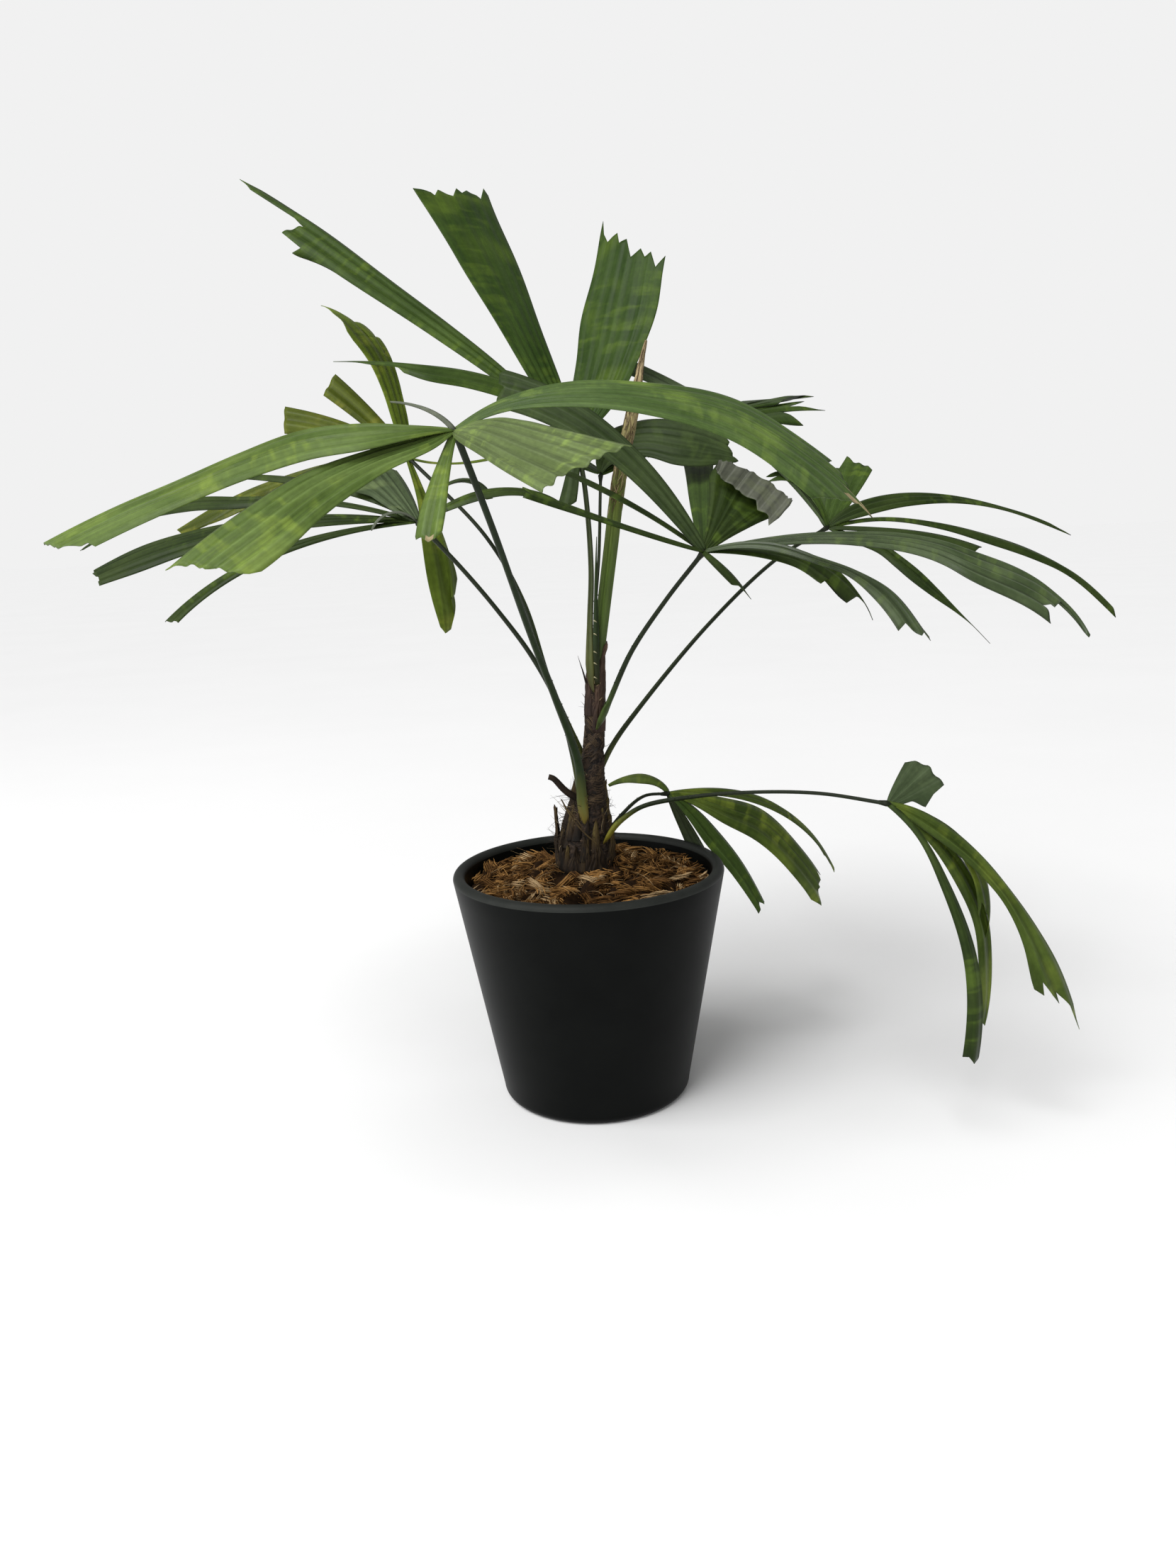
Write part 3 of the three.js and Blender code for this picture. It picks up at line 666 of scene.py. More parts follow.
def leaf_material(name, dark, green, bar, bars=0.5, blotches=0.0, roughness=0.4, rib_sheen_and_shade=0.3, gloss=0.4,
                  grain=0.35):
    """A pleated blade: pleat ridges painted lighter, partly pale ribs and partly a painted sheen, furrows
    painted darker as shade, fine lengthwise veins, and yellow-green bars across them.

    Its map runs one unit for each pleat across, and one for each centimetre along."""
    nodes = Nodes(name)
    place = nodes.make("ShaderNodeUVMap", uv_map="Leaf").outputs["UV"]

    def noisy(across, along, detail=2.0, distortion=0.0):
        return nodes.pattern(place, (across, along, 1), Scale=1.0, Detail=detail, Distortion=distortion)

    broad = noisy(0.5, 0.3, 3.0)
    colour = nodes.ramp(broad, [(0.35, dark), (0.65, green)])
    ridge = nodes.maths("PINGPONG", nodes.axis(place, "X"), 0.5)
    # Furrows are painted darker as shade in the creases; ridges are painted lighter and greyer, partly pale
    # ribs and partly a painted sheen.
    furrow_painted_shade = tuple(0.45 * c for c in dark)
    ridge_painted_sheen = tuple(c + 0.35 * sum(green) / 3 for c in green)
    colour = nodes.mix(nodes.between(ridge, 0.0, 0.2, 0.0, rib_sheen_and_shade), colour, furrow_painted_shade)
    colour = nodes.mix(nodes.between(ridge, 0.41, 0.5, rib_sheen_and_shade), colour, ridge_painted_sheen)
    barred = nodes.between(noisy(0.3, 1.5, 2.0, 0.25), 0.47, 0.68, bars)
    patches = nodes.between(noisy(0.3, 0.16, 1.0), 0.42, 0.6)
    colour = nodes.mix(nodes.maths("MULTIPLY", barred, patches), colour, bar)
    if blotches:
        colour = nodes.mix(nodes.between(noisy(0.22, 0.3, 1.0), 0.54, 0.74, blotches), colour, bar)
    veins = noisy(6.0, 0.12, 2.0)
    colour = nodes.grain(grain, colour, veins, 0.25, 0.75)
    colour = nodes.grain(0.3, colour, noisy(4.0, 3.0, 4.0), 0.3, 0.7)
    rough = nodes.between(broad, 0.3, 0.7, roughness + 0.08, roughness - 0.06)
    return nodes.finish(colour, rough, gloss, veins, 0.35, 0.00025)


def noisy_material(name, stops, scale, roughness, detail=5.0, strength=0.3, distance=0.0004,
                   stretch=(1, 1, 1), tone=0.0, gloss=0.3):
    """A surface whose colour runs through stops by noise, and by the piece's tone as far as tone says."""
    nodes = Nodes(name)
    place = nodes.make("ShaderNodeTexCoord").outputs["Object"]
    pattern = nodes.pattern(place, stretch, Scale=scale, Detail=detail, Roughness=0.6)
    factor = pattern
    if tone:
        lift = nodes.maths("MULTIPLY", nodes.maths("SUBTRACT", nodes.tone(), 0.5), tone)
        factor = nodes.maths("ADD", pattern, lift)
    return nodes.finish(nodes.ramp(factor, stops), roughness, gloss, pattern, strength, distance)


# Blade tints: dark and lighter green, the colour of the bars, and how strong they are. Some are lit or
# shaded copies: the glossy and dusk tints are darker greens that paint shade, shade is a painted-shade tint,
# and sheen greys its base colour as a painted sheen.
TINTS = {
    "fresh": dict(dark=(0.065, 0.106, 0.021), green=(0.107, 0.16, 0.039), bar=(0.2, 0.275, 0.043), bars=0.5,
                  blotches=0.3, rib_sheen_and_shade=0.24, gloss=0.12),
    "barred": dict(dark=(0.084, 0.118, 0.036), green=(0.118, 0.16, 0.056), bar=(0.18, 0.25, 0.06), bars=0.7,
                   rib_sheen_and_shade=0.24, gloss=0.12),
    "blotched": dict(dark=(0.048, 0.084, 0.021), green=(0.076, 0.122, 0.034), bar=(0.16, 0.235, 0.045),
                     bars=0.4, blotches=0.6, rib_sheen_and_shade=0.2, gloss=0.1),
    "deep": dict(dark=(0.028, 0.052, 0.009), green=(0.05, 0.086, 0.016), bar=(0.1, 0.155, 0.018), bars=0.55,
                 rib_sheen_and_shade=0.2, gloss=0.1),
    # Darker copy of the greens for top leaflets that face the light: painted shade.
    "facing_light_painted_shade": dict(dark=(0.021, 0.044, 0.007), green=(0.036, 0.067, 0.012), bar=(0.085, 0.135, 0.016),
                   bars=0.4, blotches=0.5, rib_sheen_and_shade=0.08, gloss=0.1, grain=0.2),
    # Darker copy of the greens for leaflets that lie in shade: painted shade.
    "dusk_painted_shade": dict(dark=(0.016, 0.029, 0.006), green=(0.032, 0.051, 0.011), bar=(0.08, 0.13, 0.017), bars=0.55,
                 rib_sheen_and_shade=0.35, gloss=0.09),
    # Greyer base colour: a painted sheen, beside its real higher gloss.
    "sheen": dict(dark=(0.034, 0.054, 0.018), green=(0.066, 0.094, 0.038), bar=(0.12, 0.18, 0.035), bars=0.3,
                  rib_sheen_and_shade=0.55, gloss=0.35, roughness=0.38),
    "mottled": dict(dark=(0.034, 0.056, 0.008), green=(0.064, 0.097, 0.015), bar=(0.15, 0.195, 0.024),
                    bars=0.7, blotches=0.65, rib_sheen_and_shade=0.35, gloss=0.12),
    "olive": dict(dark=(0.075, 0.112, 0.014), green=(0.128, 0.185, 0.022), bar=(0.24, 0.28, 0.038), bars=0.6,
                  blotches=0.6, rib_sheen_and_shade=0.22, gloss=0.1),
    "yellowed": dict(dark=(0.05, 0.068, 0.008), green=(0.094, 0.118, 0.014), bar=(0.2, 0.2, 0.025), bars=0.6,
                     blotches=0.7, rib_sheen_and_shade=0.2, gloss=0.1),
    "shade": dict(dark=(0.026, 0.042, 0.013), green=(0.044, 0.066, 0.022), bar=(0.065, 0.1, 0.024), bars=0.4,
                  rib_sheen_and_shade=0.3, roughness=0.5, gloss=0.1),
    "veined": dict(dark=(0.048, 0.072, 0.03), green=(0.082, 0.114, 0.052), bar=(0.135, 0.18, 0.072),
                   bars=0.8, rib_sheen_and_shade=0.35, roughness=0.5, gloss=0.14),
    "dry": dict(dark=(0.07, 0.08, 0.055), green=(0.115, 0.13, 0.092), bar=(0.17, 0.18, 0.13), bars=0.3,
                roughness=0.6, gloss=0.15),
}
ALIKE = ("olive", "yellowed", "shade", "mottled", "veined")
NAMES = list(TINTS)
UPPER = [leaf_material(f"leaf_{name}", **tint) for name, tint in TINTS.items()]
UNDER_GREY = leaf_material("leaf_under", dark=(0.07, 0.076, 0.052), green=(0.115, 0.122, 0.09),
                           bar=(0.14, 0.16, 0.08), bars=0.3, rib_sheen_and_shade=0.6, roughness=0.55, gloss=0.2)
UNDER_GREEN = leaf_material("leaf_under_green", dark=(0.04, 0.055, 0.026), green=(0.065, 0.085, 0.042),
                            bar=(0.1, 0.13, 0.04), bars=0.35, rib_sheen_and_shade=0.45, roughness=0.52, gloss=0.15)
SCORCH = noisy_material("leaf_scorch", [(0.3, (0.19, 0.145, 0.065)), (0.7, (0.4, 0.33, 0.19))], 260, 0.6)
BLADE = UPPER + [UNDER_GREEN, UNDER_GREY, SCORCH]


# A leaflet by the same rule as the CAD's, carried to fine pleats and teeth
def spine(hub, leaflet, across=0.0):
    """The leaflet's centre line: place, right-hand side and up at any share of its length.

    A leaflet that folds over does so at its own share for each place across."""
    heading = math.radians(leaflet["heading"])
    right = np.array([math.sin(heading), -math.cos(heading), 0])
    out = np.array([math.cos(heading), math.sin(heading), 0])
    up = np.array([0, 0, 1])
    roll = math.radians(leaflet["roll"])
    fold_at, later, fold_share, fold_turn = leaflet.get("fold", (2.0, 0.0, 1.0, 0))
    fold_at += later * (1 - across ** 2)

    def ways(share):
        """Ways forward, to the right and up."""
        pitch = np.radians(leaflet["rise"] - leaflet["droop"] * share ** leaflet.get("bend", 1))[..., None]
        forward = np.cos(pitch) * out + np.sin(pitch) * up
        side = math.cos(roll) * right + math.sin(roll) * np.cross(right, forward)
        turn = np.radians(fold_turn * np.clip((share - fold_at) / fold_share, 0, 1))[..., None]
        forward = np.cos(turn) * forward + np.sin(turn) * np.cross(side, forward)
        return forward, side, np.cross(side, forward)

    steps = round(PATH_STEPS * LONGEST_SHARE) * 4
    step_share = LONGEST_SHARE / steps
    moves = leaflet["length"] * step_share * ways((np.arange(steps) + 0.5) * step_share)[0]
    places = np.array(hub, float) + np.concatenate([np.zeros((1, 3)), np.cumsum(moves, axis=0)])
    knots = np.arange(steps + 1) * step_share

    def at(share):
        centre = np.stack([np.interp(share, knots, places[:, axis]) for axis in range(3)], -1)
        return centre, *ways(share)[1:]

    return at


def cut_end(leaflet, pleats):
    """Teeth for a leaflet that has none of its own: each pleat ends in a point between two notches."""
    edges = np.linspace(-1, 1, pleats + 1)
    teeth = [(-1.0, rng.uniform(-3, 2))]
    for i in range(pleats):
        wide = edges[i + 1] - edges[i]
        teeth.append((edges[i] + wide * rng.uniform(0.3, 0.7), rng.uniform(-1, 2.5)))
        if i < pleats - 1:
            teeth.append((edges[i + 1], rng.uniform(-5, -3)))
    teeth.append((1.0, rng.uniform(-3, 2)))
    return teeth


def strip_places(strips):
    """Lays rectangles (length, width) side by side in a unit square: corner of each, and the scale."""
    side = 1.03 * max(max(length for length, _ in strips), math.sqrt(sum(a * b for a, b in strips)))
    order = sorted(range(len(strips)), key=lambda i: -strips[i][0])
    while True:
        corners = {}
        left = low = column = 0.0
        for i in order:
            length, width = strips[i]
            if low + width > side:
                left, low, column = left + column, 0.0, 0.0
            corners[i] = (left, low)
            low += width
            column = max(column, length)
        if left + column <= side:
            return corners, side
        side *= 1.04


def widest(leaflet):
    return max([leaflet["width"]] + [left + right for _, left, right in leaflet.get("edges", [])])


def leaflet_shape(shape, hub, leaflet, number, corners, side):
    """Adds one leaflet to a fan: upper and under sides, and the rim between them."""
    width, length = widest(leaflet), leaflet["length"]
    pleats = max(1, round(width / PLEAT_WIDTH))
    columns = max(8, round(width / COLUMN_STEP)) + 1
    rows = max(8, round(length / ROW_STEP)) + 1
    across = np.linspace(-1, 1, columns)
    teeth = np.array([(*tooth, tooth[0])[:3] for tooth in leaflet.get("teeth") or cut_end(leaflet, pleats)])
    for tooth in teeth[1:-1]:
        nearest = 1 + np.argmin(abs(across[1:-1] - tooth[0]))
        across[nearest] = tooth[0]
    across.sort()
    end = 1 + np.interp(across, teeth[:, 0], teeth[:, 1]) / length
    stray = np.interp(across, teeth[:, 0], teeth[:, 2]) - across
    run = np.linspace(0, 1, rows)[:, None]
    share = run * end
    loose = leaflet.get("loose", 0.72)
    lateral = across + stray * smooth_step((run - loose) / (1 - loose))
    if "fold" in leaflet:
        lines = [spine(hub, leaflet, place)(share[:, k]) for k, place in enumerate(across)]
        centre, right, up = (np.stack(part, axis=1) for part in zip(*lines))
    else:
        centre, right, up = spine(hub, leaflet)(share)
    if "edges" in leaflet:
        reach = through([(0, LEAFLET_FOOT, LEAFLET_FOOT)] + leaflet["edges"], share)
        half, shift = reach.sum(-1) / 2, (reach[..., 1] - reach[..., 0]) / 2
    else:
        widening = np.maximum(share, 1e-6) ** leaflet.get("flare", WIDENING)
        half = LEAFLET_FOOT + (width / 2 - LEAFLET_FOOT) * widening
        half = half * (1 - leaflet.get("taper", 0) * np.minimum(share, 1) ** 3)
        shift = 0 * share
    half = half * (1 + 0.035 * np.sin(share * length / 13 + 1.7 * number) * share)
    cuts = np.linspace(0, 1, pleats + 1)
    cuts[1:-1] += rng.uniform(-0.27, 0.27, pleats - 1) / pleats
    place = np.interp((across + 1) / 2, cuts, np.arange(pleats + 1)) + 0 * share
    ridge = 0.5 - 0.5 * np.cos(2 * math.pi * place)
    depth = leaflet.get("depth", 0.15)
    depth = depth + (max(0.24, depth) - depth) * (1 - smooth_step(share * 1.6))
    height = depth * (2 * half / pleats) * (ridge - 0.5) - 0.08 * half * lateral ** 2
    height = height + 0.6 * share * np.sin(share * length / 19 + 2 * number) * across ** 2 * np.sign(across)
    middle = centre + right * (shift + lateral * half)[..., None] + up * height[..., None]
    lift = up * (LEAF_THICKNESS / 2)
    points = np.concatenate([(middle + lift).reshape(-1, 3), (middle - lift).reshape(-1, 3)])
    below = rows * columns
    leaf_map = np.stack([place + 11 * number, share * length / 10 + 3.7 * number], -1).reshape(-1, 2)
    flat = np.stack([share * length, (across + 1) / 2 * width + 0 * share], -1).reshape(-1, 2)
    bake = [(flat + STRIP_MARGINS + np.array(corner)) / side for corner in corners]
    i, k = np.meshgrid(np.arange(rows - 1), np.arange(columns - 1), indexing="ij")
    a = (i * columns + k).ravel()
    over = np.stack([a, a + 1, a + columns + 1, a + columns], -1)
    back = over[:, ::-1]
    burn, burn_from, burn_to = leaflet.get("scorch", (0, 0, 0))
    in_burn = (across[:-1] >= burn_from) & (across[:-1] <= burn_to)
    burnt = (((1 - run[1:]) * end[:-1] * length < burn) & in_burn).ravel()
    upper_kind = np.where(burnt, len(BLADE) - 1, NAMES.index(leaflet["tint"]))
    if leaflet["tint"] in ALIKE:
        under = NAMES.index(leaflet["tint"])
    else:
        under = len(UPPER) + int(leaflet["tint"] in ("fresh", "dry") or "fold" in leaflet)
    under_kind = np.where(burnt, len(BLADE) - 1, under)
    rim = np.concatenate([
        np.arange(columns),
        np.arange(1, rows) * columns + columns - 1,
        (rows - 1) * columns + np.arange(columns - 2, -1, -1),
        np.arange(rows - 2, 0, -1) * columns,
    ])
    outward = np.concatenate([
        np.tile([-1.0, 0.0], (columns, 1)),
        np.tile([0.0, 1.0], (rows - 1, 1)),
        np.tile([1.0, 0.0], (columns - 1, 1)),
        np.tile([0.0, -1.0], (rows - 2, 1)),
    ]) * STRIP_RIM / side
    after = np.roll(rim, -1)
    rim_faces = np.stack([after, rim, below + rim, below + after], -1)
    rim_bake = np.stack([bake[0][after], bake[0][rim], bake[0][rim] + outward, bake[0][after] + outward], 1)
    faces = np.concatenate([over, back + below, rim_faces])
    kinds = np.concatenate([upper_kind, under_kind, np.full(len(rim), NAMES.index(leaflet["tint"]))])
    maps = {
        "Leaf": np.concatenate([leaf_map[over].reshape(-1, 2), leaf_map[back].reshape(-1, 2),
                                leaf_map[np.stack([after, rim, rim, after], -1)].reshape(-1, 2)]),
        "OFBake": np.concatenate([bake[0][over].reshape(-1, 2), bake[1][back].reshape(-1, 2),
                                  rim_bake.reshape(-1, 2)]),
    }
    shape.add(points, faces.tolist(), kinds, 0.5, maps)


number = 0
for node, fan in FANS.items():
    strips = [(STRIP_LENGTH * part["length"] + 2 * STRIP_MARGINS[0], widest(part) + 2 * STRIP_MARGINS[1])
              for part in fan for _ in ("upper", "under")]
    corners, side = strip_places(strips)
    shape = Shape()
    for k, part in enumerate(fan):
        number += 1
        hub = LEAVES[node[:-2]]["hub"]
        leaflet_shape(shape, hub, part, number, (corners[2 * k], corners[2 * k + 1]), side)
    shape.piece(f"leaflets_{node}", BLADE, "blade", f"blade_{node}")


# Petioles: channelled above, with small thorns on their edges and a clasping foot
def stalk_material(name, stops, z_low, z_high, roughness=0.4):
    """Colour runs through stops from z_low to z_high, with fine lengthwise streaks; tone lightens it."""
    nodes = Nodes(name)
    place = nodes.make("ShaderNodeTexCoord").outputs["Object"]
    level = nodes.make("ShaderNodeMapRange")
    level.inputs["From Min"].default_value = z_low * MM
    level.inputs["From Max"].default_value = z_high * MM
    nodes.put(nodes.axis(place, "Z"), level.inputs["Value"])
    streak = nodes.pattern(place, (1, 1, 0.1), Scale=420.0, Detail=3.0)
    jitter = nodes.maths("MULTIPLY", nodes.maths("SUBTRACT", streak, 0.5), 0.12)
    colour = nodes.ramp(nodes.maths("ADD", level.outputs["Result"], jitter), stops)
    colour = nodes.grain(0.6, colour, streak, 0.3, 0.72)
    colour = nodes.mix(nodes.between(nodes.tone(), 0.5, 1.0, 0.35), colour, (0.09, 0.12, 0.045))
    colour = nodes.mix(nodes.between(nodes.tone(), 0.0, 0.5, 0.0, 0.8), colour, (0.012, 0.011, 0.006))
    return nodes.finish(colour, roughness, 0.16, streak, 0.3, 0.0003)


YELLOW_FOOT = (0.13, 0.1, 0.018)
STALKS = {
    "green": [(0.0, (0.05, 0.034, 0.012)), (0.03, YELLOW_FOOT), (0.08, (0.06, 0.07, 0.012)),
              (0.16, (0.014, 0.026, 0.007)), (1.0, (0.011, 0.019, 0.007))],
    "pale": [(0.0, (0.06, 0.05, 0.016)), (0.08, (0.075, 0.08, 0.022)), (0.4, (0.036, 0.046, 0.017)),
             (1.0, (0.014, 0.02, 0.009))],
    "dark": [(0.0, (0.03, 0.02, 0.008)), (0.07, (0.05, 0.06, 0.01)), (0.2, (0.014, 0.022, 0.006)),
             (0.5, (0.009, 0.014, 0.005)), (1.0, (0.01, 0.015, 0.006))],
    "leafy": [(0.0, (0.03, 0.03, 0.008)), (0.06, (0.04, 0.066, 0.01)), (0.16, (0.03, 0.052, 0.009)),
              (0.3, (0.012, 0.02, 0.006)), (1.0, (0.01, 0.015, 0.006))],
    "yellow_foot": [(0.0, (0.06, 0.04, 0.012)), (0.12, (0.2, 0.17, 0.02)), (0.45, (0.1, 0.11, 0.015)),
                    (0.7, (0.012, 0.02, 0.006)), (1.0, (0.01, 0.015, 0.006))],
}
THORN = noisy_material("thorn", [(0.3, (0.22, 0.2, 0.1)), (0.8, (0.42, 0.38, 0.24))], 300, 0.5)

for name, leaf in LEAVES.items():
    controls = leaf["petiole"] + [leaf["hub"]]
    shares = np.arange(len(controls)) / (len(controls) - 1)
    widths = list(leaf["thick"] + (leaf["thin"] - leaf["thick"]) * np.minimum(1, 1.6 * shares))
    foot_points = [spot[:3] for spot in leaf["foot"]]
    controls = foot_points + controls[1 if foot_points else 0:]
    widths = [spot[3] for spot in leaf["foot"]] + widths[1 if foot_points else 0:]
    knots = np.concatenate([[0], np.cumsum([math.dist(a, b) for a, b in zip(controls, controls[1:])])])
    share = np.linspace(0, 1, STALK_RINGS)
    points = curve_through(controls)(share)
    run = share * knots[-1]
    wide = np.interp(run, knots, widths)
    clasp = np.exp(-run / 16) if foot_points else 0 * run
    deep = np.minimum(wide, np.interp(run, knots, np.minimum(widths, leaf["thick"]))) * (1 - 0.45 * clasp)
    inward = unit(np.array([-leaf["hub"][0], -leaf["hub"][1], 0.0]))
    side, upper = frames_along(points, inward + np.array([0, 0, 0.6]))
    angle = np.arange(STALK_SIDES) / STALK_SIDES * 2 * math.pi
    channel = np.exp(-((np.angle(np.exp(1j * (angle - math.pi / 2))) / 0.55) ** 2))
    fade = np.minimum(1, 8 * (1 - share))[:, None]
    hollow = 1 - 0.5 * channel * fade
    sideways = np.cos(angle) * wide[:, None] * 1.04
    upward = np.sin(angle) * deep[:, None] * 0.95 * hollow
    rings = rings_round(points, side, upper, sideways, upward)
    tone = 0.5 + 0.35 * channel * fade + 0 * rings[..., 0]
    shape = Shape()
    shape.add(rings, [face[::-1] for face in tube_faces(STALK_RINGS, STALK_SIDES)], 0, tone.ravel())
    start = 12 if foot_points else 6
    thorny_sides = () if leaf["stalk"] == "pale" else (-1, 1)
    for sign in thorny_sides:
        for t in range(THORNS_A_SIDE):
            spot = start + THORN_SPACING * (t + 0.5 * (sign > 0)) + rng.uniform(-1, 1)
            i = min(int(spot / knots[-1] * (STALK_RINGS - 1)), STALK_RINGS - 1)
            foot = points[i] + sign * side[i] * wide[i] * 0.95 + upper[i] * deep[i] * 0.3
            out = sign * side[i] * rng.uniform(0.7, 1.3)
            tip = foot + out + np.array([0, 0, rng.uniform(-0.7, 0.1)])
            strand(shape, [foot, foot + 0.5 * out, tip], [0.38, 0.24, 0.04], sides=5, tone=0.45)
    crown = points[-1] - 0.4 * unit(points[-1] - points[-2])
    for k in range(KNOT_STRANDS):
        turn = 2 * math.pi * k / KNOT_STRANDS
        away = math.cos(turn) * side[-1] + math.sin(turn) * upper[-1]
        ahead = unit(points[-1] - points[-4])
        path = [crown + along * ahead + out * away for along, out in ((-5, 0.4), (-1, 0.9), (1, 0.3))]
        strand(shape, path, leaf["thin"] * np.array([0.6, 0.7, 0.3]), sides=7, tone=0.3)
    z_low = min(point[2] for point in controls)
    stalk = stalk_material(f"stalk_{name}", STALKS[leaf["stalk"]], z_low, leaf["hub"][2])
    shape.piece(f"stalk_{name}", [stalk], "petiole", f"petiole_{name}")

# Trunk: wound with dark fibre, swollen at its foot under old leaf bases
level_z = np.array([level[0] for level in TRUNK_LEVELS], float)
level_x = np.array([level[1] for level in TRUNK_LEVELS], float)
level_r = np.array([level[2] for level in TRUNK_LEVELS], float)


def stem_at(z):
    """Sideways place and radius of the trunk, and of the unopened leaf above it."""
    x = np.interp(z, np.append(level_z, [258, 272]), np.append(level_x, [11.5, 14]))
    r = np.interp(z, np.append(level_z, [258, 272]), np.append(level_r, [4.2, 4.4]))
    return x, r


def on_stem(around, level, out):
    """Places at angles round the trunk, at heights and at distances out from its skin."""
    x, r = stem_at(level)
    return np.stack([x + (r + out) * np.cos(around), (r + out) * np.sin(around), level + 0 * around], -1)


bark_points = []
bark_tone = []
for i in range(TRUNK_ROWS + 1):
    z = TRUNK_FOOT + (level_z[-1] - TRUNK_FOOT) * i / TRUNK_ROWS
    x, r = stem_at(z)
    slender = smooth_step((z - 150) / 30)
    for k in range(TRUNK_SIDES):
        angle = 2 * math.pi * k / TRUNK_SIDES
        spot = Vector((r * math.cos(angle), r * math.sin(angle), z))
        sway = noise.noise(spot * 0.11) + 0.3 * noise.noise(spot * 0.4)
        winding = (z / WRAP_PITCH - angle / (2 * math.pi) + 0.4 * sway) % 1.0
        fibre = math.sin(2 * math.pi * (winding * WRAP_FIBRES + 1.5 * noise.noise(spot * 0.25)))
        ledge = 0.8 * winding ** 2 * slender
        rough = 0.7 * noise.noise(spot * 0.5) + 0.3 * noise.noise(spot * 1.7)
        radius = r - 0.7 + ledge + 0.24 * fibre + rough * (1.4 - slender)
        bark_points.append((x + radius * math.cos(angle), radius * math.sin(angle), z))
        # Tone follows the fibres and bumps; the groove under each wrap's ledge is painted darker as shade.
        bark_tone.append(0.42 + 0.24 * fibre + 0.3 * rough - 0.3 * (winding < 0.08) * slender)
shape = Shape()
shape.add(bark_points, tube_faces(TRUNK_ROWS + 1, TRUNK_SIDES), 0, np.clip(bark_tone, 0, 1))
BARK = noisy_material(
    "bark",
    [(0.3, (0.006, 0.004, 0.003)), (0.5, (0.028, 0.017, 0.01)), (0.7, (0.062, 0.038, 0.022)),
     (0.85, (0.12, 0.08, 0.045))],
    150, 0.8, strength=0.5, distance=0.0005, stretch=(1, 1, 2.2), tone=0.6,
)
shape.piece("trunk_bark", [BARK], "bark", "trunk")

# Old leaf bases: middle angle, half width in degrees, foot and tip heights, how far the tip stands out,
# how pointed it is, and its material
HUSKS = [
    (172, 24, 122, 163, 8.5, 1.3, 0), (212, 34, 120, 150, 1.4, 1.8, 0), (250, 40, 120, 144, 0.8, 2.0, 0),
    (296, 40, 120, 148, 0.8, 1.8, 0), (340, 36, 121, 150, 1.6, 1.6, 0), (20, 40, 122, 156, 1.6, 1.4, 0),
    (66, 44, 121, 154, 1.6, 1.8, 0), (116, 44, 122, 160, 2.2, 1.4, 0), (190, 30, 146, 184, 1.2, 1.1, 0),
    (90, 36, 144, 184, 1.4, 1.2, 0), (20, 30, 140, 176, 1.0, 1.2, 0),
    (322, 70, 205, 252, 1.6, 0.9, 1), (296, 50, 206, 237, 0.5, 1.3, 1), (215, 60, 214, 240, 0.5, 1.6, 1),
]
for _ in range(SMALL_HUSKS):
    low = rng.uniform(119, 150)
    HUSKS.append((rng.uniform(0, 360), rng.uniform(5, 12), low, low + rng.uniform(10, 24),
                  rng.uniform(-0.2, 1.2), rng.uniform(0.7, 1.6), 0))
HUSK = noisy_material(
    "husk",
    [(0.3, (0.005, 0.0035, 0.002)), (0.47, (0.018, 0.011, 0.006)), (0.6, (0.036, 0.023, 0.01)),
     (0.74, (0.066, 0.044, 0.015)), (0.88, (0.13, 0.1, 0.03))],
    75, 0.75, strength=0.6, distance=0.0008, stretch=(1, 1, 0.45), tone=0.5, gloss=0.2,
)
SHEATH = noisy_material(
    "sheath_brown",
    [(0.3, (0.022, 0.011, 0.007)), (0.55, (0.062, 0.034, 0.02)), (0.8, (0.14, 0.09, 0.05))],
    160, 0.7, strength=0.4, distance=0.0005, stretch=(1, 1, 0.2), tone=0.4,
)
shape = Shape()
for middle, half, foot, tip, out, point, kind in HUSKS:
    rows, columns = (40, 44) if half > 20 else (22, 8)
    shade = rng.uniform(-0.25, 0.25)
    sheets = []
    tones = []
    for lift in (0.55, 0.05):
        for i in range(rows + 1):
            v = i / rows
            z = foot + (tip - foot) * v
            x, r = stem_at(z)
            spread = math.radians(half) * (1 - v ** 2) ** point + 0.03
            for k in range(columns + 1):
                u = 2 * k / columns - 1
                angle = math.radians(middle) + spread * u
                spot = Vector((math.cos(angle) * 9, math.sin(angle) * 9, z * 0.5 + middle))
                crease = math.sin(u * 14 + noise.noise(spot * 0.4) * 6)
                radius = r + lift + out * v ** 2.4 + 0.22 * crease - 1.2 * abs(u) ** 3
                radius += (0.8 if kind == 0 else 0.3) * noise.noise(spot * 0.35)
                torn = noise.noise(Vector((u * 7, middle, 0))) * v
                sheets.append((x + radius * math.cos(angle), radius * math.sin(angle), z + 3 * torn))
                tones.append(0.5 + shade + 0.22 * crease * v - 0.4 * (1 - v) ** 2 + 0.25 * v)
    count = (rows + 1) * (columns + 1)
    faces = []
    for i in range(rows):
        for k in range(columns):
            a = i * (columns + 1) + k
            faces.append((a, a + 1, a + columns + 2, a + columns + 1))
            faces.append((count + a + columns + 1, count + a + columns + 2, count + a + 1, count + a))
    rim = list(range(columns + 1)) + [i * (columns + 1) + columns for i in range(1, rows + 1)]
    rim += [rows * (columns + 1) + k for k in range(columns - 1, -1, -1)]
    rim += [i * (columns + 1) for i in range(rows - 1, 0, -1)]
    for a, b in zip(rim, rim[1:] + rim[:1]):
        faces.append((b, a, count + a, count + b))
    shape.add(sheets, faces, kind, np.clip(tones, 0, 1))


